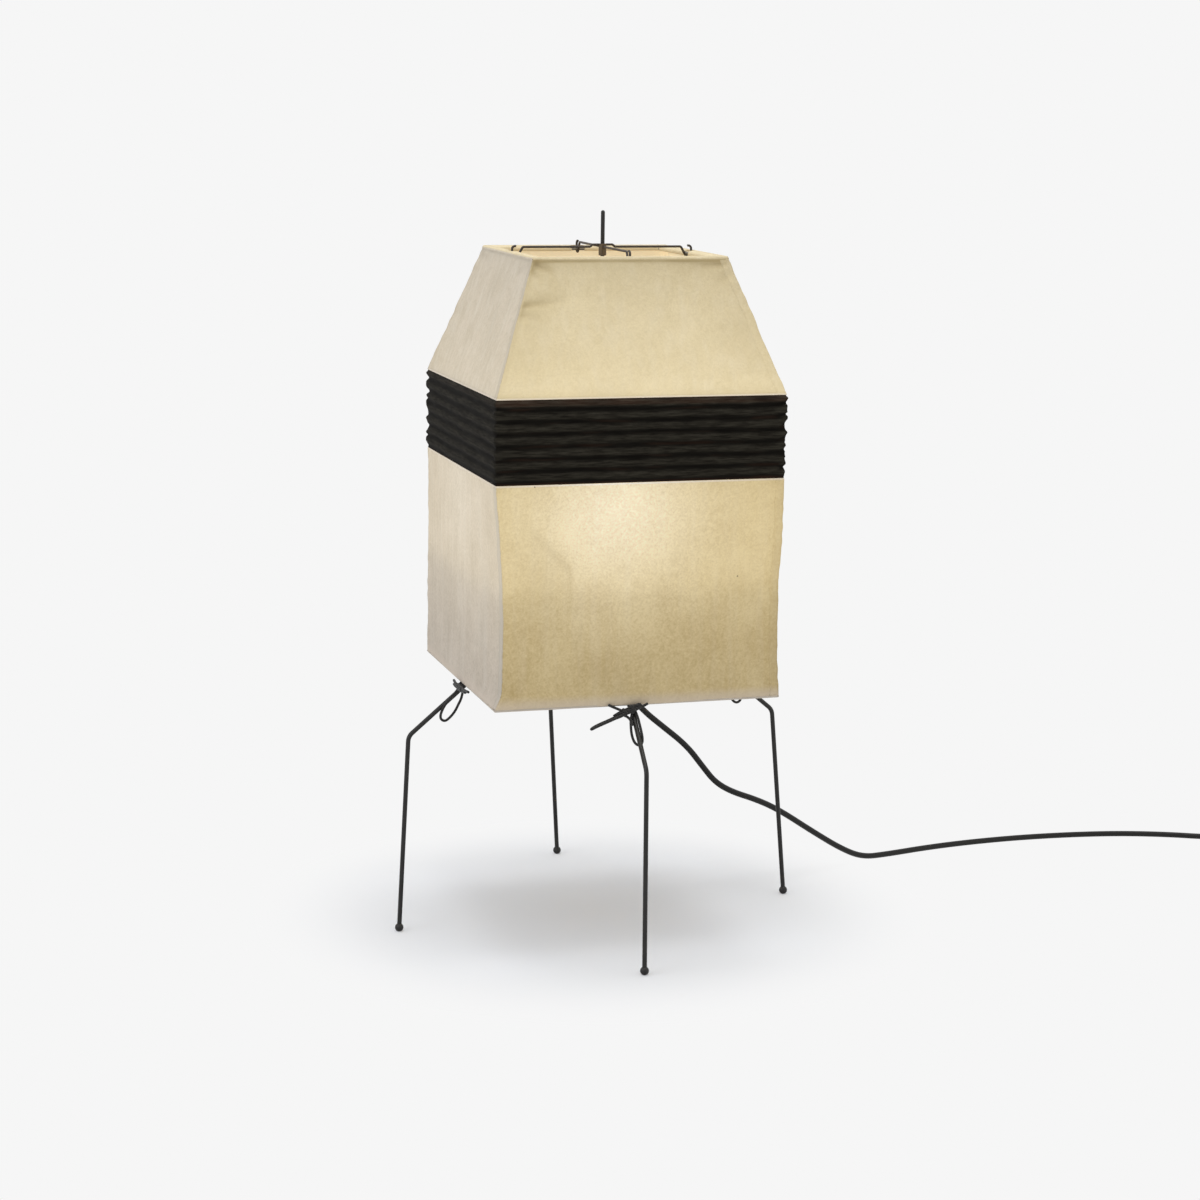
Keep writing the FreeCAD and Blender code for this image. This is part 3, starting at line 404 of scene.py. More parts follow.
shade = {
    "half": 125.0,
    "mouthHalf": 84.0,
    "bottom": 218.0,
    "bandBottom": 406.0,
    "bandTop": 476.0,
    "top": 588.0,
    "paper": 0.6,
    "seam": 0.03,
    "tab": {"wide": 8.0, "torn": 0.7, "tornEvery": 13.0, "lift": 0.24, "edgeLift": 0.08, "under": 0.2,
            "ends": 0.004, "columns": 4, "dull": 0.20},
    "step": 2.6,
    "closeRows": (0.4, 0.9, 1.4, 1.9, 2.4, 3.0, 3.7, 4.4, 5.8),
    "bows": {"frontLeft": (9.0, "sharp"), "frontRight": (1.9, "gentle"), "backRight": (3.0, "gentle"),
             "backLeft": (0.8, "high")},
    "endBow": 0.3,
    "bowFall": 2.3,
    "bowShapes": {
        "sharp": ((0.0, 0.06, 0.12, 0.32, 0.55, 0.78, 1.0), (0.0, 0.78, 0.94, 1.0, 0.86, 0.45, 0.0)),
        "gentle": ((0.0, 0.15, 0.33, 0.56, 0.81, 1.0), (0.0, 0.58, 0.97, 0.75, 0.30, 0.0)),
        "high": ((0.0, 0.30, 0.50, 0.70, 0.85, 1.0), (0.0, 0.05, 0.50, 1.0, 0.60, 0.0)),
    },
    "wave": {"deep": 0.7, "slow": 34.0, "quick": 7.0, "quickShare": 0.75, "apart": 7.3},
    "relief": {"slow": 62.0, "slowDeep": 1.1, "cockle": 15.0, "cockleDeep": 0.22, "creaseDeep": 1.5},
    "seamFalls": {"left": 3.2, "right": 7.0, "top": 9.0, "bottom": 4.5},
    # the roll's dull share is painted shadow in the groove under the lip
    "rollShape": {"lip": 1.0, "lipWide": 1.0, "groove": 3.0, "grooveWide": 1.1, "dull": 0.6, "every": 23.0,
                  "uneven": 0.9, "clear": (0.8, 2.2)},
    "upperCreases": {
        "front": [((-0.995, 0.972), (-0.72, 0.88), 2.6, 0.030), ((-0.995, 0.92), (-0.84, 0.82), 1.8, 0.024),
                  ((-0.995, 0.66), (-0.60, 0.69), 2.2, 0.028), ((-0.995, 0.60), (-0.78, 0.55), 1.4, 0.026),
                  ((0.995, 0.955), (0.55, 0.935), 2.0, 0.024), ((0.995, 0.90), (0.78, 0.79), 1.4, 0.032)],
        "right": [((-0.97, 0.95), (-0.5, 0.86), 1.2, 0.035), ((0.5, 0.90), (0.97, 0.97), 1.1, 0.035)],
        "back": [((-0.97, 0.94), (-0.6, 0.84), 1.1, 0.035), ((0.45, 0.91), (0.96, 0.96), 1.2, 0.032)],
        "left": [((0.25, 0.20), (0.40, 0.85), 0.7, 0.05), ((0.55, 0.86), (0.97, 0.95), 1.2, 0.035),
                 ((-0.96, 0.93), (-0.5, 0.88), 1.0, 0.035)],
    },
    "lowerCreases": {
        "front": [((-0.52, 0.62), (-0.84, 0.84), 1.1, 0.026), ((-0.52, 0.64), (-0.53, 0.40), 1.0, 0.026),
                  ((0.97, 0.02), (0.84, 0.17), 0.9, 0.018), ((-0.97, 0.02), (-0.86, 0.10), 0.9, 0.018)],
        "right": [((-0.97, 0.03), (-0.84, 0.13), 0.9, 0.020), ((0.55, 0.30), (0.66, 0.75), 0.7, 0.05)],
        "back": [((0.84, 0.14), (0.97, 0.03), 0.9, 0.020), ((-0.52, 0.30), (-0.62, 0.70), 0.7, 0.05)],
        "left": [((0.60, 0.20), (0.72, 0.72), 1.0, 0.07), ((0.84, 0.12), (0.97, 0.02), 0.9, 0.020),
                 ((-0.5, 0.35), (-0.6, 0.70), 0.6, 0.06)],
    },
}


def bowAt(corner, up):
    most, shape = shade["bows"][corner]
    heights, depths = shade["bowShapes"][shape]
    for i in range(len(heights) - 1):
        if up <= heights[i + 1] or i == len(heights) - 2:
            before, after = depths[max(i - 1, 0)], depths[min(i + 2, len(depths) - 1)]
            t = (up - heights[i]) / (heights[i + 1] - heights[i])
            a, b = depths[i], depths[i + 1]
            cubic = 3 * (a - b) + after - before
            depth = a + 0.5 * t * (b - before + t * (2 * before - 5 * a + 4 * b - after + t * cubic))
            return shade["endBow"] + most * max(depth, 0.0)


# corners are never ruler straight: a slow wave that both neighbouring panels share
def cornerWave(corner, level, fade):
    wave = shade["wave"]
    seed = (list(shade["bows"]).index(corner) + 1) * wave["apart"]
    slow = noise.noise((seed, level / wave["slow"], 0.0))
    quick = noise.noise((seed, level / wave["quick"], 5.0))
    return wave["deep"] * fade * (slow + wave["quickShare"] * quick)


# slow hollows, a fine cockle and the creases, fading out along the panel's edges
def paperRelief(side, across, up, place, creases):
    seed = 11.0 * sideTurns[side]
    x, y, z = place
    margin = 1 - abs(across)
    edge = smoothStep(0.0, 0.10, margin) * smoothStep(0.0, 0.06, up) * smoothStep(0.0, 0.05, 1 - up)
    relief = shade["relief"]
    broad, fine = relief["slow"], relief["cockle"]
    slow = noise.noise((x / broad + seed, y / broad, z / broad))
    cockle = noise.noise((x / fine + seed, y / fine + 3.0, z / fine))
    near = smoothStep(0.01, 0.06, margin) * smoothStep(0.0, 0.03, 1 - up) * smoothStep(0.0, 0.03, up)
    hollows = edge * (relief["slowDeep"] * slow + relief["cockleDeep"] * cockle)
    return hollows - relief["creaseDeep"] * near * creased(creases, across, up)


# one point of a panel's outer face, and its share of the darker seam tone there: doubled paper at the seams,
# darker towards the top and bottom edges, and painted shade in the creases, the soft patches and the roll's
# groove
def panelPoint(side, part, up, across):
    left, right = sideCorners[side]
    low, high = part["levels"]
    level = low + (high - low) * up
    half = part["halves"][0] + (part["halves"][1] - part["halves"][0]) * up
    fade = smoothStep(0.0, 0.08, up) * smoothStep(0.0, 0.05, 1 - up)
    inLeft = (bowAt(left, up) if part["bowed"] else 0.0) + cornerWave(left, level, fade)
    inRight = (bowAt(right, up) if part["bowed"] else 0.0) + cornerWave(right, level, fade)
    x = (across + 1) / 2 * (2 * half - inLeft - inRight) - half + inLeft
    fall = shade["bowFall"]
    bow = inLeft * max(-across, 0.0) ** fall + inRight * max(across, 0.0) ** fall
    creases = part["creases"][side]
    y = -half + bow
    y -= paperRelief(side, across, up, (x, y, level), creases)
    toLeft, toRight = (1 + across) * half, (1 - across) * half
    toTop, toBottom = (1 - up) * (high - low), up * (high - low)
    leftSeam, rightSeam = part["sideSeams"]
    falls = shade["seamFalls"]
    seam = leftSeam * math.exp(-(toLeft / falls["left"]) ** 2)
    seam += rightSeam * math.exp(-(toRight / falls["right"]) ** 2)
    seam += part["topSeam"] * math.exp(-toTop / falls["top"])
    seam += part["bottomSeam"] * math.exp(-(toBottom / falls["bottom"]) ** 2)
    # painted shade along each crease
    seam += part["creaseShade"] * creased(creases, across, up)
    # painted shade: soft dark patches beside a crease and along the corners
    for middle, height, wide, tall, weight in part["shadePatches"].get(side, []):
        seam += weight * math.exp(-((across - middle) / wide) ** 2 - ((up - height) / tall) ** 2)
    if part["roll"]:
        # the hem's roll: a lip round the wire, and the pressed groove below it, with painted shadow in the
        # groove; the lip is kept clear of the darker tone
        roll = shade["rollShape"]
        uneven = 1 + roll["uneven"] * noise.noise((x / roll["every"], 3.3 * sideTurns[side] + 0.5, 2.5))
        y -= part["roll"] * uneven * math.exp(-((toTop - roll["lip"]) / roll["lipWide"]) ** 2)
        groove = math.exp(-((toTop - roll["groove"]) / roll["grooveWide"]) ** 2)
        seam = seam * smoothStep(*roll["clear"], toTop) + roll["dull"] * uneven * groove
    return (x, y, level), min(max(seam, 0.0), 1.0)


def panelMesh(side, part):
    tall = part["levels"][1] - part["levels"][0]
    rows = int(tall / shade["step"]) + 1
    columns = int(2 * shade["half"] / shade["step"]) + 1
    close = [d / tall for d in shade["closeRows"]]
    atBottom = part["fineAt"] == "bottom"
    ups = [r / rows for r in range(rows + 1) if r in (0, rows) or 2 < (r if atBottom else rows - r)]
    ups = sorted(ups + [d if atBottom else 1 - d for d in close])
    outer, inner, seams = [], [], []
    for up in ups:
        for c in range(columns + 1):
            (x, y, level), seam = panelPoint(side, part, up, -1 + 2 * c / columns)
            shrink = 1 - (shade["paper"] + shade["seam"]) / shade["half"]
            outer.append(turned((x * (1 - shade["seam"] / shade["half"]), y, level), side))
            inner.append(turned((x * shrink, y + shade["paper"], level), side))
            seams.append(seam)
    return outer + inner, shellFaces(len(ups), columns + 1), seams + seams


# glued tab: the next sheet's edge lapped over this one, along the right-hand corner, with a torn edge
def tabMesh(side, part):
    tab, columns = shade["tab"], shade["tab"]["columns"]
    low, high = part["levels"]
    rows = int((high - low) / shade["step"]) + 1
    outer, inner = [], []
    for r in range(rows + 1):
        up = tab["ends"] + (1 - 2 * tab["ends"]) * r / rows
        level = low + (high - low) * up
        half = part["halves"][0] + (part["halves"][1] - part["halves"][0]) * up
        wide = tab["wide"] + tab["torn"] * noise.noise((level / tab["tornEvery"], 9.0 * sideTurns[side], 1.0))
        for c in range(columns + 1):
            (x, y, level), _ = panelPoint(side, part, up, 1 - wide / half * (1 - c / columns))
            outer.append(turned((x, y - tab["lift" if c else "edgeLift"], level), side))
            inner.append(turned((x, y + tab["under"], level), side))
    seam = part["tabSeam"].get(side, tab["dull"])
    return outer + inner, shellFaces(rows + 1, columns + 1), [seam] * (2 * len(outer))


def shareOut(piece, name, values):
    piece.data.attributes.new(name, "FLOAT", "POINT").data.foreach_set("value", values)


panels = {
    "upper": {"levels": (shade["bandTop"] + 0.1, shade["top"]),
              "halves": (shade["half"], shade["mouthHalf"]), "bowed": False,
              "creases": shade["upperCreases"], "body": "upper_shade", "topSeam": 0.45, "inside": 0.42,
              "sideSeams": (0.30, 0.22), "creaseShade": 0.30, "foldHighlightLevels": (0.4778, 0.4768),
              "hemZone": (0.0, 0.001, 0.0), "bottomSeam": 0.30, "roll": 0.9, "fineAt": "top",
              "shadePatches": {"front": [(-0.92, 0.42, 0.20, 0.40, 0.20), (0.92, 0.42, 0.22, 0.40, 0.24)]},
              "tabSeam": {"left": 0.6}},
    "lower": {"levels": (shade["bottom"], shade["bandBottom"] - 0.1),
              "halves": (shade["half"], shade["half"]), "bowed": True,
              "creases": shade["lowerCreases"], "body": "stand", "topSeam": 0.05, "inside": 0.14,
              "sideSeams": (0.05, 0.16), "creaseShade": 0.26, "foldHighlightLevels": (0.4042, 0.4052),
              "hemZone": (0.2300, 0.2190, 0.6), "bottomSeam": 0.0, "roll": 0.0, "fineAt": "bottom",
              "shadePatches": {"front": [(-0.74, 0.56, 0.17, 0.22, 0.20)]}, "tabSeam": {"left": 0.6}},
}
for half, part in panels.items():
    paperInside = washiInside("washiInside_" + half, part["inside"])
    for side in sideTurns:
        sheet = washiSheet("washi_" + half + "_" + side, washi[half][side], part)
        points, faces, seams = panelMesh(side, part)
        paper = meshPiece(half + "Paper_" + side, points, faces, sheet, part["body"])
        paper.data.materials.append(paperInside)
        for face in paper.data.polygons:
            face.material_index = 1 if min(face.vertices) >= len(points) // 2 else 0
        shareOut(paper, "seamAndShadeShare", seams)
        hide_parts(half + "_panel_" + side)
        points, faces, seams = tabMesh(side, part)
        tab = meshPiece(half + "Tab_" + side, points, faces, sheet, part["body"])
        shareOut(tab, "seamAndShadeShare", seams)
print("paper panels folded")


# hems: the paper's edge turned over the rim wires, open mid-side for the hooks and ties
hems = {
    "top": {
        "edge": [(84.45, 586.9), (84.20, 587.9), (83.7, 588.3), (82.8, 588.45)],
        "fold": [(82.9, 588.40), (80.4, 588.35), (78.2, 588.10), (76.4, 587.5), (75.45, 586.4),
                 (75.5, 585.0), (76.1, 584.2)],
        "gap": 6.0,
        "turns": (0.0, 0.0, 0.0, 0.0),
        "dark": "#d3c29b", "pale": "#e2d4b2", "glow": 0.10,
    },
    "bottom": {
        "edge": [(124.50, 218.9), (124.55, 218.0), (124.25, 217.65), (123.6, 217.45)],
        "fold": [(123.9, 217.50), (121.8, 217.55), (119.8, 217.80), (118.2, 218.2), (117.5, 219.2),
                 (117.5, 220.6)],
        "gap": 10.0,
        "turns": (-2.4, 5.0, -1.5, 2.7),
        "dark": "#bcb1a2", "pale": "#cdc3b5", "glow": 0.0,
    },
    "thickness": 0.45,
    "wander": 0.22,
    "wanderEvery": (17.0, 9.0),
    "steps": 26,
}


# the profile, and the same profile moved in by the paper's thickness
def profileWithBack(profile, thickness):
    back = []
    for i, (r, z) in enumerate(profile):
        before, after = profile[max(i - 1, 0)], profile[min(i + 1, len(profile) - 1)]
        run, rise = after[0] - before[0], after[1] - before[1]
        size = math.hypot(run, rise)
        back.append((r + rise / size * thickness, z - run / size * thickness))
    return back


# sweep a profile round one corner of the square, from one mid-side gap to the next
def hemCorner(profile, gapFrom, gapTo, corner, wander):
    rows = []
    steps = hems["steps"]
    along, across = hems["wanderEvery"]
    for step in range(2 * steps + 1):
        row = []
        for r, z in profile:
            if step <= steps:
                x, y = gapFrom + (r - gapFrom) * step / steps, -r
            else:
                x, y = r, -r + (r + gapTo) * (step - steps) / steps
            lift = wander * noise.noise((x / along + 31.0 * corner, y / along, r / across))
            row.append((x, y, z + lift))
        rows.append(row)
    return rows


def hemMesh(sizes, flip):
    points, faces = [], []
    for profile, gap in ((sizes["edge"], 0.0), (sizes["fold"], sizes["gap"])):
        front = profile[::-1] if flip else profile
        back = profileWithBack(front, hems["thickness"])
        for corner, side in enumerate(sideTurns):
            centre = math.tan(math.radians(sizes["turns"][corner])) * front[0][0]
            nextCentre = math.tan(math.radians(sizes["turns"][(corner + 1) % 4])) * front[0][0]
            wander = hems["wander"] if gap else 0.0
            grids = [hemCorner(p, centre + gap, nextCentre - gap, corner, wander) for p in (front, back)]
            start = len(points)
            for grid in grids:
                points.extend(turned(point, side) for row in grid for point in row)
            faces.extend(tuple(start + i for i in face) for face in shellFaces(len(grids[0]), len(front)))
    return points, faces


# hem paper: the same washi doubled and handled, so duller, browner along the fold and hardly lit through
def washiFolded(name, look):
    material, tree, shader, place = newMaterial(name)
    soil = addNode(tree, "TexNoise", {"Scale": perMetre(14.0), "Detail": 6.0, "Roughness": 0.65},
                   {"Vector": place})
    tone = addNode(tree, "Mix", {"data_type": "RGBA", 6: linear(look["dark"]), 7: linear(look["pale"])},
                   {0: soil})
    grain = addNode(tree, "TexNoise", {"Scale": perMetre(1.6), "Detail": 2.0}, {"Vector": place})
    rough = addNode(tree, "Bump", {"Strength": 0.3, "Distance": 0.0003}, {"Height": grain})
    setNode(tree, shader,
            {"Roughness": 0.9, "IOR": 1.46, "Emission Color": linear("#ffe9c0"),
             "Emission Strength": look["glow"]},
            {"Base Color": tone, "Normal": rough})
    return material


for name, body, flip in (("top", "upper_shade", False), ("bottom", "stand", True)):
    points, faces = hemMesh(hems[name], flip)
    hemPaper = washiFolded("washiFolded_" + name, hems[name])
    hemPiece = meshPiece(name + "Hem", points, faces, hemPaper, body)
    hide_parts(name + "_hem")
print("hems turned over")


# black band: the sheet is folded by hand, so the ridges wander and crumple where they turn the corners
band = {
    "low": 406.15,
    "high": 475.85,
    "half": 125.3,
    "pitch": 10.0,
    "firstRidge": 3.0,
    "depth": 1.5,
    "paper": 0.6,
    "rowStep": 0.72,
    "columnStep": 3.4,
    "wander": 0.88,
    "pinch": 6.0,
    "roundness": 0.9,
    "uneven": 0.55,
    "hollow": 0.6,
    "edgeDepth": 0.35,
    "cornerIn": (0.0045, 3.0),
    "cornerColumns": (0.9, 2.0),
    "crumple": 3.0,
    "crumpleReach": 9.0,
    "bulge": 1.3,
    "edgeFade": 2.5,
    "waveSizes": {"along": 38.0, "up": 21.0, "pinch": 6.5, "deep": 26.0, "push": 5.0,
                  "hollow": (55.0, 40.0)},
    # clump and patch give random dye; valley and ridge set the painted shade that darkens the pleats' valleys
    "dyeAndShade": {"clump": (5.0, 3.0), "patch": (30.0, 4.0), "valley": 0.15, "ridge": 0.8,
            "patchy": 0.4, "clumped": 0.1},
    "strips": {"top": (6.2, 3.8), "bottom": (2.6, 0.8), "bottomShare": 0.6, "groove": 0.35},
    # painted shade: each side's band tone is set for the light that falls on it, darkest on the left
    "sideShades": {"front": 1.0, "right": 0.9, "back": 0.9, "left": 0.62},
    "leaks": {"front": 1.0, "right": 0.9, "back": 0.8, "left": 0.12},
}


def bandPoint(sizes, lateral, level, corner, inset):
    depthDown = (sizes["high"] - level - sizes["firstRidge"]) / sizes["pitch"]
    ridge = math.floor(depthDown + 0.5)
    edge, waves = sizes["edgeFade"], sizes["waveSizes"]
    fade = smoothStep(0.0, edge, level - sizes["low"]) * smoothStep(0.0, edge, sizes["high"] - level)
    toCorner = sizes["half"] - abs(lateral)
    crumple = 1 - smoothStep(0.0, sizes["crumpleReach"], toCorner)
    lean = corner if lateral < 0 else corner + 1  # both sides of one corner share its number
    wave = noise.noise((lateral / waves["along"] + 40.0 * corner, level / waves["up"], 0.7)) * (1 - crumple)
    pinch = noise.noise((23.4 * (lean % 4) + 0.5, level / waves["pinch"], 2.5)) * crumple
    phase = depthDown + fade * (sizes["wander"] * wave + sizes["pinch"] * pinch) / sizes["pitch"]
    cosine = 0.5 + 0.5 * math.cos(2 * math.pi * phase)
    straight = abs(2 * (phase - math.floor(phase)) - 1)
    crest = sizes["roundness"] * cosine + (1 - sizes["roundness"]) * straight
    varied = noise.noise((lateral / waves["deep"] + 50.0 * corner, ridge * 1.9, 4.0))
    deep = sizes["depth"] * (1 + sizes["uneven"] * varied * (1 - crumple))
    buckle = noise.noise((11.3 * (lean % 4) + 0.5, level / waves["push"], 8.5))
    push = sizes["crumple"] * crumple * buckle * fade
    wide, tall = waves["hollow"]
    slow = noise.noise((lateral / wide + 60.0 * corner, level / tall, 6.0))
    hollow = sizes["hollow"] * slow * fade * (1 - crumple)
    fold = deep * (1 - crest) * (sizes["edgeDepth"] + (1 - sizes["edgeDepth"]) * fade)
    reach = sizes["half"] + sizes["bulge"] * fade - inset - fold - max(push, 0.0) - abs(hollow)
    drawnIn, cornerReach = sizes["cornerIn"]
    corners = 1 - drawnIn * (1 - smoothStep(0.0, cornerReach, toCorner))
    return (lateral / sizes["half"] * reach * corners, -reach * corners, level), crest, crumple


def bandMesh(sizes):
    rows = int((sizes["high"] - sizes["low"]) / sizes["rowStep"]) + 1
    half = sizes["half"]
    count = int(2 * half / sizes["columnStep"])
    close = sizes["cornerColumns"]
    places = [-half] + [-half + c for c in close] + [-half + 2 * half * c / count for c in range(1, count)]
    places += [half - c for c in reversed(close)]
    dyeAndShade, strips = sizes["dyeAndShade"], sizes["strips"]
    (clumpWide, clumpTall), (patchWide, patchTall) = dyeAndShade["clump"], dyeAndShade["patch"]
    points, dyeAndShadeShares, leaks = [], [], []
    for inset in (0.0, sizes["paper"]):
        for r in range(rows + 1):
            level = sizes["low"] + (sizes["high"] - sizes["low"]) * r / rows
            for corner, side in enumerate(sideTurns):
                for lateral in places:
                    point, crest, crumple = bandPoint(sizes, lateral, level, corner, inset)
                    points.append(turned(point, side))
                    clump = noise.noise((9.4 * corner + lateral / clumpWide, level / clumpTall, 3.5))
                    patchy = noise.noise((lateral / patchWide + 70.0 * corner, level / patchTall, 1.0))
                    # painted shade: darkest in the valleys, full tone on the crests
                    ridged = dyeAndShade["valley"] + (1 - dyeAndShade["valley"]) * smoothStep(0.0, dyeAndShade["ridge"], crest)
                    tone = sizes["sideShades"][side] * ridged * (1 + dyeAndShade["patchy"] * patchy)
                    dyeAndShadeShares.append(tone + dyeAndShade["clumped"] * crumple * clump)
                    strip = smoothStep(*strips["top"], sizes["high"] - level)
                    strip += strips["bottomShare"] * smoothStep(*strips["bottom"], level - sizes["low"])
                    valley = 1 - smoothStep(0.0, 0.3, crest)
                    groove = strips["groove"] * valley * smoothStep(0.05, 0.5, patchy)
                    leaks.append(sizes["leaks"][side] * (strip * (0.75 + 0.5 * patchy) + groove))
    return points, shellFaces(rows + 1, 4 * len(places), ring=True), dyeAndShadeShares, leaks


# black washi: dyed in the vat and folded: a dull sheen on the ridges and painted shade in the valleys, with a
# painted brown glow where light leaks in
def washiDyed():
    material, tree, shader, place = newMaterial("washiDyed")
    streak = addNode(tree, "Mapping", {"Scale": (0.10, 0.10, 1.0)}, {"Vector": place})
    crinkle = addNode(tree, "TexNoise", {"Scale": perMetre(1.6), "Detail": 4.0, "Roughness": 0.65},
                      {"Vector": streak})
    spread = addNode(tree, "MapRange", {"From Min": 0.36, "From Max": 0.68}, {"Value": crinkle})
    tone = addNode(tree, "Mix", {"data_type": "RGBA", 6: linear("#1c1914"), 7: linear("#3b3830")},
                   {0: spread})
    # painted shade darkens the valleys and the left side over the patchy dye; the bulb shows brown through
    # the flat strips glued to the sheets
    dyeAndShade = addNode(tree, "Attribute", {"attribute_name": "dyeAndShadeShare"}).outputs["Fac"]
    dyedAndShaded = addNode(tree, "Mix", {"data_type": "RGBA", 6: linear("#0a0806")}, {0: dyeAndShade, 7: tone})
    through = addNode(tree, "Attribute", {"attribute_name": "leakShare"}).outputs["Fac"]
    leak = addNode(tree, "Math", {"operation": "MULTIPLY", 1: 0.017}, {0: through})
    grain = addNode(tree, "TexNoise", {"Scale": perMetre(1.8), "Detail": 3.0}, {"Vector": streak})
    rough = addNode(tree, "Bump", {"Strength": 0.45, "Distance": 0.0004}, {"Height": grain})
    setNode(tree, shader,
            {"Emission Color": linear("#ff9c6a"), "Roughness": 0.78, "IOR": 1.46, "Specular IOR Level": 0.06},
            {"Base Color": dyedAndShaded, "Emission Strength": leak, "Normal": rough})
    return material


points, faces, dyeAndShadeShares, leaks = bandMesh(band)
pleatedBand = meshPiece("pleatedBand", points, faces, washiDyed(), "stand")
shareOut(pleatedBand, "dyeAndShadeShare", dyeAndShadeShares)
shareOut(pleatedBand, "leakShare", leaks)
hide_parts("pleated_band")
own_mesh(pleatedBand)
print("band pleated")


# ties: string lashed round rim and leg, knotted outside. Points are out, across and up from the knot
ties = {
    "string": 2.3,
    "rim": 119.6,
    "knotOut": 7.8,
    "knotLevel": 214.9,
    "strands": {"count": 5, "points": 6, "twist": 0.35, "ragged": 1.2, "tip": 0.7},
    "bundle": {"front": 1.9, "right": 1.5, "back": 1.6, "left": 1.2},
    "rings": {"places": (0.38, 0.68), "points": 14, "perTurn": 12, "rise": 0.16, "below": 1.0,
              "outside": 0.45},
    "roundedOff": 0.96,
    "lash": [(0.0, 1.2, 0.0), (-4.8, 3.8, 0.0), (-4.8, 3.8, 8.25), (-10.8, 3.8, 8.25), (-13.8, 3.8, 1.5)],
    # twisted cotton: dyed black, dull and a little hairy, its lay showing as fine ribs
    "finish": {"dark": "#0c0b0b", "pale": "#1e1c19", "size": 6.6, "span": (0.0, 1.0), "bump": 0.7,
               "deep": 0.0004,
               "texture": ("TexWave", "Fac",
                           {"bands_direction": "DIAGONAL", "Distortion": 1.5, "Detail": 2.0}),
               "shader": {"Roughness": 0.82, "Sheen Weight": 0.2}},
    "sides": {
        "front": {
            "azimuth": -90.0, "turn": -2.4,
            "lump": ((1.2, -17, -6.4), (1.2, 6, 3.2)),
            "tails": [[(1.5, -6, -2.5), (0.8, -13, -0.2), (0.2, -22, 4.2)],
                      [(1.0, 3, 0.0), (1.2, 8, 2.0), (0.8, 12, 4.2)],
                      [(1.5, -9, -4.5), (3.5, -5, -6.5), (6, -3.4, -9.5), (9, -3.2, -12)]],
            "loop": [(0, -1, -3), (3.5, -3.4, -8), (7, -4.0, -14), (10.5, -4.2, -20), (14, -2.6, -26),
                     (17, 0.6, -28), (18.6, 3.0, -25.5), (17.5, 3.4, -21), (13.5, 3.0, -15.2),
                     (8.5, 2.7, -10.2), (3.5, 2.6, -6), (0.4, 1.2, -1.6)],
            "bow": [(0.8, -3, -0.5), (1, -10, -3.5), (1.2, -20, -8), (1.6, -32, -12.5), (3.2, -37, -14.8),
                    (6.2, -38.0, -14.9), (7.5, -33.4, -12.2), (7.1, -21.4, -7.7), (4.5, -10.1, -3.7),
                    (2.6, -3, -1.6)],
        },
        "right": {
            "azimuth": 0.0, "turn": 5.0,
            "lump": ((1.2, -10, -3.0), (1.2, 6, 2.0)),
            "tails": [[(0, 1, 0.5), (1.0, 8, -1.0), (1.2, 14, -5.0)]],
            "loop": [(-1, 1, -1.5), (4, 3.2, -8), (9, 3.8, -17), (13.5, 3.4, -25), (14.5, 2.6, -32),
                     (9.5, 2.2, -35), (4.5, 2.2, -31), (1.5, 2.2, -22), (-0.5, 2.2, -12), (-1.5, 1.2, -4)],
            "bow": [(0.8, -3, -0.5), (1.0, -9, -3), (1.2, -17, -6), (2.0, -24, -9), (4.0, -28, -11),
                    (7.2, -27.4, -11), (8.0, -23, -9.4), (5.5, -16, -6), (3.4, -8, -3.4), (2.6, -3, -1.5)],
        },
        "back": {
            "azimuth": 90.0, "turn": -1.5,
            "lump": ((1.2, -13, -4.6), (1.2, 6, 2.6)),
            "tails": [[(0, 1, 0.5), (1.0, 8, -1.5), (1.2, 15, -6.0)]],
            "loop": [(0, 1.5, -1), (3, -4.5, -5), (7, -6.4, -13), (12, -5.8, -22), (17, -2.4, -29),
                     (20.5, 2.4, -29), (17, 5.0, -23), (11, 4.6, -15), (5, 3.4, -7), (0.5, 2.8, -2)],
            "bow": [(0.8, -3, -0.5), (1.0, -10, -3.5), (1.2, -19, -8), (2.0, -27, -12.5), (4.0, -31.0, -15),
                    (7.2, -30.4, -15), (8.0, -26, -12.4), (5.5, -18, -7.8), (3.4, -9, -4.2),
                    (2.6, -3, -1.5)],
        },
        "left": {
            "azimuth": 180.0, "turn": 2.7,
            "lump": ((1.0, -6, -0.4), (1.0, 16, -0.8)),
            "tails": [[(0.6, -4, 0.2), (0.2, -9, 0.8), (-0.4, -14, 1.2)],
                      [(1.0, 12, -0.4), (1.0, 22, 0.2), (0.6, 34, 1.0)],
                      [(1.2, 4, -2.6), (1.6, 14, -2.4), (1.2, 27, -0.9)]],
            "loop": [(-1, 1, -2), (6, 2.9, -9.5), (11, 3.3, -14), (14.6, 3.3, -19.5), (16.6, 2.8, -25.0),
                     (16.2, 2.4, -29.0), (12.4, 2.2, -31.2), (8.4, 2.2, -28.6), (3.6, 2.2, -23.5),
                     (0, 2.2, -16.5), (-3, 2.2, -10.5), (-4, 1.2, -5)],
        },
    },
}


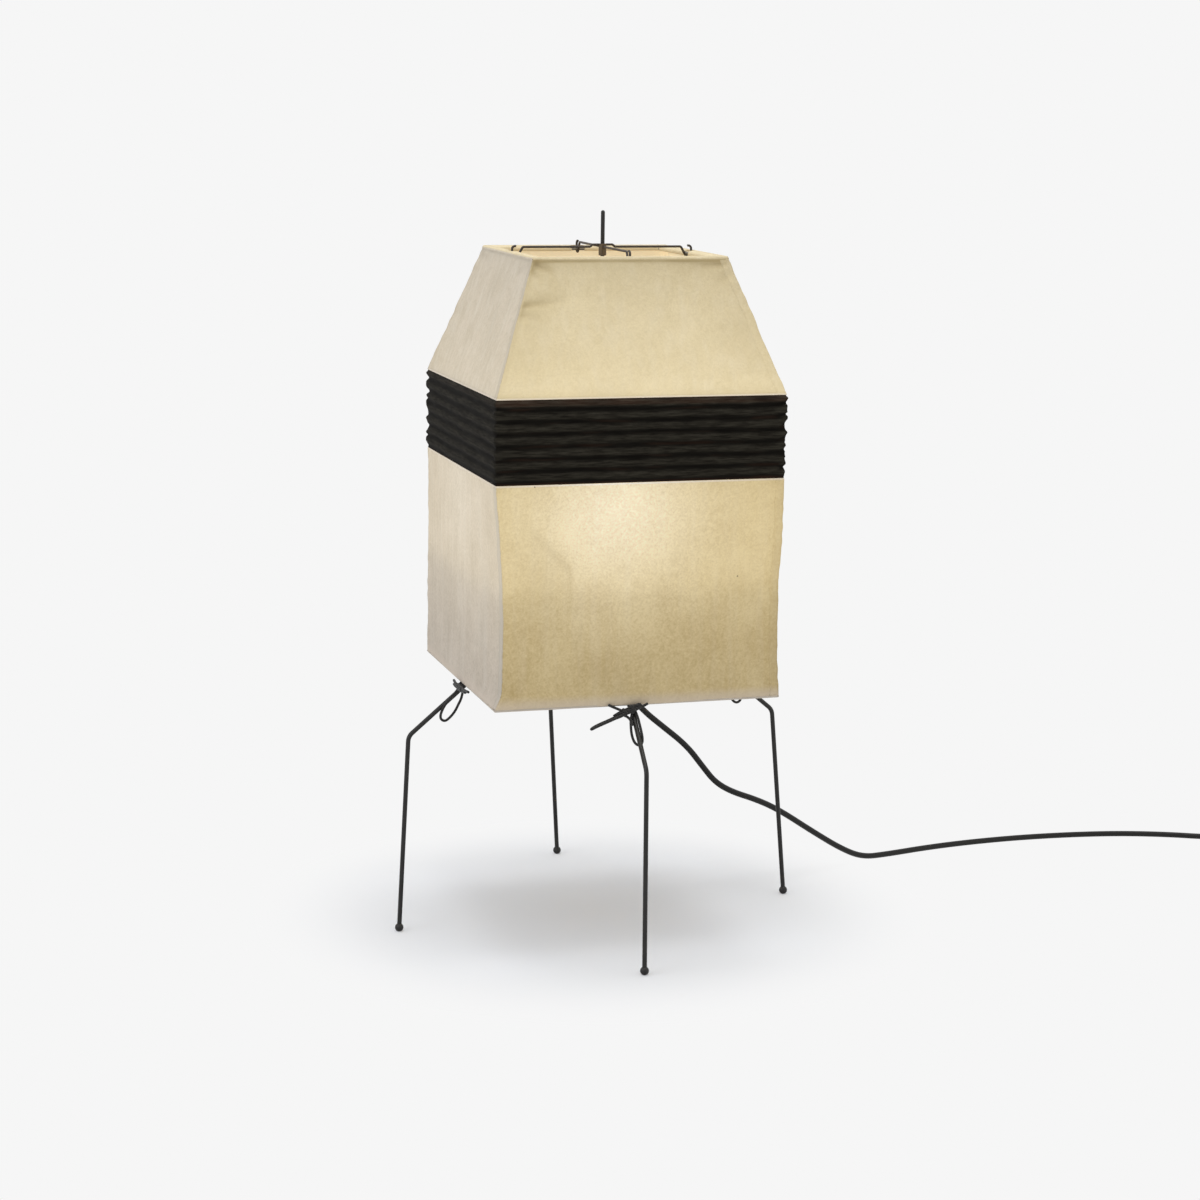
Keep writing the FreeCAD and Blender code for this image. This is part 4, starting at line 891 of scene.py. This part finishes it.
def tieStrings(side, look, string):
    turn = math.radians(look["azimuth"] + look["turn"])
    knot = ties["rim"] / math.cos(math.radians(look["turn"])) + ties["knotOut"]

    def place(point):
        out, across, level = point
        return ((knot + out) * math.cos(turn) - across * math.sin(turn),
                (knot + out) * math.sin(turn) + across * math.cos(turn), ties["knotLevel"] + level)

    lash = ties["lash"] + [(out, -across, level) for out, across, level in reversed(ties["lash"])]
    # the lump of the knot: a bundle of strands bound round twice
    start, end = (Vector(point) for point in look["lump"])
    along = (end - start).normalized()
    outward = Vector((1, 0, 0))
    upward = along.cross(outward)
    thick = ties["bundle"][side]
    bundle = []
    strands, rings = ties["strands"], ties["rings"]
    last = strands["points"] - 1
    for i in range(strands["count"]):
        strand = []
        for j in range(strands["points"]):
            angle = 2 * math.pi * i / strands["count"] + strands["twist"] * j
            off = outward * math.cos(angle) + upward * math.sin(angle)
            tip = j in (0, last)
            ragged = strands["ragged"] * noise.noise((i * 3.1, j, look["azimuth"])) if tip else 0.0
            wide = thick * (strands["tip"] if tip else 1.0)
            strand.append(start.lerp(end, j / last) + off * wide + along * ragged)
        bundle.append(strand)
    for share in rings["places"] if side != "left" else ():
        centre = start.lerp(end, share)
        ring = []
        for j in range(rings["points"]):
            angle = 2 * math.pi * j / rings["perTurn"]
            off = outward * math.cos(angle) + upward * math.sin(angle)
            wide = thick + rings["outside"] * ties["string"]
            ring.append(centre + off * wide + along * (rings["rise"] * j - rings["below"]))
        bundle.append(ring)
    lines = [[place(point) for point in line] for line in [lash] + bundle + look["tails"]]
    knotPiece = cordCurve("tieKnot_" + side, lines, ties["string"], string, "stand")
    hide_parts("tie_" + side)
    for kind in ("loop", "bow"):
        if kind in look:
            line = [place(point) for point in look[kind]]
            name = "tie" + kind.capitalize() + "_" + side
            piece = cordCurve(name, [line], ties["string"], string, "stand")


string = makeFinish("cottonTwisted", ties["finish"])
for side, look in ties["sides"].items():
    tieStrings(side, look, string)
print("strings tied")


# strap round the coil: hook-and-loop tape, closed on itself on top
strap = {
    "x": (71.6, 90.7), "z": (0.4, 13.2), "y": -40.0, "width": 8.0, "thickness": 0.8, "corner": 2.6,
    "arcSteps": 5, "lap": 11.0, "lapLift": (0.95, 0.25), "lapSteps": 4, "edge": 0.3,
    # woven nylon with a nap: matt black, ribbed about every millimetre
    "finish": {"dark": "#0f0f10", "pale": "#29292b", "size": 1.1, "texture": ("TexVoronoi", "Distance", {}),
               "span": (0.0, 1.0), "bump": 0.6, "deep": 0.0004,
               "shader": {"Roughness": 0.85, "Sheen Weight": 0.3}},
}


def strapMesh(sizes):
    (x0, x1), (z0, z1), radius = sizes["x"], sizes["z"], sizes["corner"]
    line = []
    right, left, low, high = x1 - radius, x0 + radius, z0 + radius, z1 - radius
    for cx, cz, start in ((right, low, -90), (right, high, 0), (left, high, 90), (left, low, 180)):
        for step in range(sizes["arcSteps"] + 1):
            angle = math.radians(start + 90 / sizes["arcSteps"] * step)
            nx, nz = math.cos(angle), math.sin(angle)
            line.append((cx + radius * nx, cz + radius * nz, nx, nz))
    lapEnd = []
    lift, curl = sizes["lapLift"]
    for step in range(sizes["lapSteps"] + 1):
        share = step / sizes["lapSteps"]
        lapEnd.append((right - sizes["lap"] * share, z1 + lift + curl * share * share, 0.0, 1.0))
    points, faces = [], []
    half, thick = sizes["width"] / 2, sizes["thickness"] / 2
    for run, ring in ((line, True), (lapEnd, False)):
        start, count = len(points), len(run)
        flat = half - sizes["edge"]
        section = [(-half, -0.5), (-flat, -1), (0, -1), (flat, -1), (half, -0.5)]
        section += [(-across, -out) for across, out in section]
        for x, z, nx, nz in run:
            for across, out in section:
                point = runToLamp(flex, (x + nx * thick * out, sizes["y"] + across, z + nz * thick * out))
                points.append(tuple(c * mm for c in point))
        size = len(section)
        for i in range(count if ring else count - 1):
            j = (i + 1) % count
            for k in range(size):
                m = (k + 1) % size
                faces.append((start + i * size + k, start + j * size + k, start + j * size + m,
                              start + i * size + m))
        if not ring:
            faces.append(tuple(start + k for k in reversed(range(size))))
            faces.append(tuple(start + (count - 1) * size + k for k in range(size)))
    return points, faces


points, faces = strapMesh(strap)
tape = makeFinish("nylonTape", strap["finish"])
coilStrap = meshPiece("coilStrap", points, faces, tape, "stand")
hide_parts("coil_tie")
print("coil strapped")

# finishes of the hard pieces; size is the unevenness in mm, rough the range it gives the gloss
finishes = {
    # drawn steel wire, stove enamelled black: satin, thin enough to show the wire's slight waviness
    "steelWireEnamelled": {"nodes": ["leg_" + side for side in sideTurns] + ["post"], "dark": "#100f0e",
                           "pale": "#211f1c", "size": 11.0, "rough": (0.32, 0.50), "shader": {"IOR": 1.42},
                           "bump": 0.25},
    # thinner wire of the stretcher, browned rather than painted, so warmer and duller
    "steelWireBrowned": {"nodes": ["arm_" + side for side in sideTurns] + ["post_socket"],
                         "dark": "#241c16", "pale": "#43382d", "size": 6.0, "rough": (0.38, 0.6),
                         "shader": {"IOR": 1.5}, "bump": 0.3},
    # turned brass collar, browned in a bath like the arms: a warm dull brown
    "collarBrowned": {"nodes": ["collar"], "dark": "#443726", "pale": "#6b5a3f", "size": 5.0,
                      "rough": (0.40, 0.6), "shader": {"IOR": 1.5}, "bump": 0.3},
    # turned balls dipped in black enamel: a thicker, glossier coat than the wire's
    "ballEnamelled": {"nodes": ["foot_" + side for side in sideTurns], "dark": "#100f0e", "pale": "#211f1d",
                      "size": 5.0, "rough": (0.28, 0.45), "shader": {"IOR": 1.42}, "bump": 0.2},
    # galvanised hoop wire: pale grey, spangled and dull
    "hoopWireGalvanised": {"nodes": ["top_rim_wire", "bottom_rim_wire", "upper_hoop", "lower_hoop"],
                           "dark": "#6f6a60", "pale": "#9b968a", "size": 4.0, "rough": (0.42, 0.62),
                           "shader": {"Metallic": 0.85}, "bump": 0.2},
    # turned mild steel hub and plate, black lacquered
    "hubLacquered": {"nodes": ["hub", "hub_plate"], "dark": "#1a1a19", "pale": "#2e2d2b", "size": 9.0,
                     "rough": (0.36, 0.52), "shader": {"IOR": 1.5}, "bump": 0.3},
    # zinc plate on cut threads: bluish grey with a dull metal shine
    "screwZincPlated": {"nodes": ["leg_screws", "collar_screw", "nipple"], "dark": "#8a8d92",
                        "pale": "#b4b6b8", "size": 2.5, "rough": (0.28, 0.45), "shader": {"Metallic": 1.0},
                        "bump": 0.15},
    # phenolic resin, compression moulded: deep brownish black with a soft gloss and faint mottling
    "bakeliteMoulded": {"nodes": ["holder_base", "holder_shell", "flex_outlet"], "dark": "#17120f",
                        "pale": "#2a211b", "size": 7.0, "rough": (0.26, 0.40), "shader": {"IOR": 1.6},
                        "bump": 0.15},
    # steatite, glazed: off-white with a clear gloss
    "steatiteGlazed": {"nodes": ["holder_insulator"], "dark": "#d9d5ca", "pale": "#eeebe2", "size": 5.0,
                       "rough": (0.12, 0.25), "shader": {"IOR": 1.55}, "bump": 0.1},
    # rolled brass, slightly tarnished
    "brassRolled": {"nodes": ["holder_sleeve", "holder_contact", "plug_pins"], "dark": "#a07d3a",
                    "pale": "#cfae62", "size": 3.0, "rough": (0.22, 0.42), "shader": {"Metallic": 1.0},
                    "bump": 0.1},
    # drawn aluminium bulb cap: soft grey metal with rolled marks
    "aluminiumDrawn": {"nodes": ["bulb_cap", "bulb_tip"], "dark": "#a6a7a8", "pale": "#c9cacb", "size": 2.0,
                       "rough": (0.25, 0.4), "shader": {"Metallic": 1.0}, "bump": 0.15},
    # ABS, injection moulded with a spark-eroded texture: even black with a fine grain
    "absMoulded": {"nodes": ["switch_base", "switch_cover", "plug_body"], "dark": "#151515",
                   "pale": "#222221", "size": 0.9, "rough": (0.42, 0.55), "shader": {"IOR": 1.54},
                   "bump": 0.35},
    # the rocker is the same ABS, polished in the mould
    "absPolished": {"nodes": ["switch_rocker"], "dark": "#121212", "pale": "#1d1d1d", "size": 2.0,
                    "rough": (0.2, 0.3), "shader": {"IOR": 1.54}, "bump": 0.05},
    # tungsten, coiled: white hot when lit
    "tungstenHot": {"nodes": ["bulb_filament"], "dark": "#6b6660", "pale": "#a39c92", "size": 1.0,
                    "span": (0.0, 1.0), "texture": ("TexNoise", "Fac", {}),
                    "shader": {"Metallic": 1.0, "Roughness": 0.4, "Emission Color": linear("#ffcf87"),
                               "Emission Strength": 1.2}},
}


def dress(node, material):
    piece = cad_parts[node]
    piece.data.materials.clear()
    piece.data.materials.append(material)


for name, look in finishes.items():
    material = makeFinish(name, look)
    for node in look["nodes"]:
        dress(node, material)


# soda-lime glass, blown and etched inside: it scatters, so the lit bulb shows as a soft warm ball
def glassEtched():
    material, tree, shader, place = newMaterial("glassEtched")
    etch = addNode(tree, "TexNoise", {"Scale": perMetre(3.0), "Detail": 3.0}, {"Vector": place})
    frost = addNode(tree, "MapRange", {"To Min": 0.32, "To Max": 0.5}, {"Value": etch})
    setNode(tree, shader,
            {"Base Color": linear("#fbf4e4"), "Transmission Weight": 0.85, "IOR": 1.51,
             "Emission Color": linear("#ffdf9e"), "Emission Strength": 0.5},
            {"Roughness": frost})
    return material


bulbGlass = glassEtched()
dress("bulb_glass", bulbGlass)
dress("bulb_stem", bulbGlass)
print("hard pieces finished")

# stage: a pale floor that fades into a plain backdrop of the same white
stage = {"white": "#f6f6f6", "floorSize": 1.9, "lampShadow": (0.13, 0.30), "coilShadow": (0.06, 0.16),
         "ambient": 0.40, "lift": 0.07, "sweep": "#f1f3f6", "room": "#f8fbff"}


def makeFloor(sizes):
    mesh = bpy.data.meshes.new("floor")
    half = sizes["floorSize"]
    corners = [(-half, -half, 0), (half, -half, 0), (half, half, 0), (-half, half, 0)]
    mesh.from_pydata(corners, [], [(0, 1, 2, 3)])
    floor = bpy.data.objects.new("floor", mesh)
    scene.collection.objects.link(floor)
    material, tree, shader, place = newMaterial("paperSweep")
    mesh.materials.append(material)
    coilBox = [Vector(corner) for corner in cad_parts["flex_coil"].bound_box]
    coil = sum(coilBox, Vector()) / len(coilBox)
    fades = []
    for centre, shadow in (((0, 0, 0), "lampShadow"), ((coil.x, coil.y, 0), "coilShadow")):
        far = addNode(tree, "VectorMath", {"operation": "DISTANCE", 1: centre}, {0: place})
        start, end = sizes[shadow]
        fades.append(addNode(tree, "MapRange", {"From Min": start, "From Max": end,
                                                "interpolation_type": "SMOOTHSTEP"}, {"Value": far}))
    fade = addNode(tree, "Math", {"operation": "MINIMUM"}, dict(enumerate(fades)))
    seen = addNode(tree, "LightPath").outputs["Is Camera Ray"]
    raised = addNode(tree, "Math", {"operation": "MULTIPLY", 1: sizes["lift"]}, {0: seen})
    setNode(tree, shader, {"Base Color": linear(sizes["sweep"]), "Roughness": 1.0, "Specular IOR Level": 0.0,
                           "Emission Color": linear("#ffffff")}, {"Emission Strength": raised})
    plain = addNode(tree, "Emission", {"Color": linear(sizes["white"]), "Strength": 1.0})
    mixed = addNode(tree, "MixShader", {}, {0: fade, 1: shader, 2: plain})
    setNode(tree, tree.nodes["Material Output"], {}, {"Surface": mixed})


# the plain white is what the camera, gloss and glass see; the other rays get the weaker room light
def makeRoom(sizes):
    world = bpy.data.worlds.new("studio")
    scene.world = world
    world.use_nodes = True
    tree = world.node_tree
    light = tree.nodes["Background"]
    setNode(tree, light, {"Color": linear(sizes["room"]), "Strength": sizes["ambient"]})
    shown = addNode(tree, "Background", {"Color": linear(sizes["white"]), "Strength": 1.0})
    path = addNode(tree, "LightPath").outputs
    sharp = addNode(tree, "Math", {"operation": "MAXIMUM"},
                    {0: path["Is Glossy Ray"], 1: path["Is Transmission Ray"]})
    seen = addNode(tree, "Math", {"operation": "MAXIMUM"}, {0: path["Is Camera Ray"], 1: sharp})
    mixed = addNode(tree, "MixShader", {}, {0: seen, 1: light, 2: shown})
    setNode(tree, tree.nodes["World Output"], {}, {"Surface": mixed})


makeFloor(stage)
makeRoom(stage)

# studio light: a wide soft box high on the left, a weaker one over the lamp and a low fill from the right
lights = {
    "softLeft": {"place": (-2.2, -0.8, 1.5), "aim": (0, 0, 0.40), "size": 1.8, "power": 20.0,
                 "colour": "#f6f8ff"},
    "softTop": {"place": (0.1, 0.03, 2.6), "aim": (0, 0, 0.3), "size": 1.45, "power": 27.0,
                "colour": "#ffffff"},
    "fillRight": {"place": (2.0, -1.9, 1.0), "aim": (0, 0, 0.40), "size": 0.8, "power": 5.5,
                  "colour": "#fff6e6"},
}
for name, look in lights.items():
    data = bpy.data.lights.new(name, "AREA")
    data.size = look["size"]
    data.energy = look["power"]
    data.color = linear(look["colour"])[:3]
    lamp = bpy.data.objects.new(name, data)
    lamp.location = look["place"]
    lamp.rotation_euler = (Vector(look["aim"]) - Vector(look["place"])).to_track_quat("-Z", "Y").to_euler()
    scene.collection.objects.link(lamp)
print("stage lit")
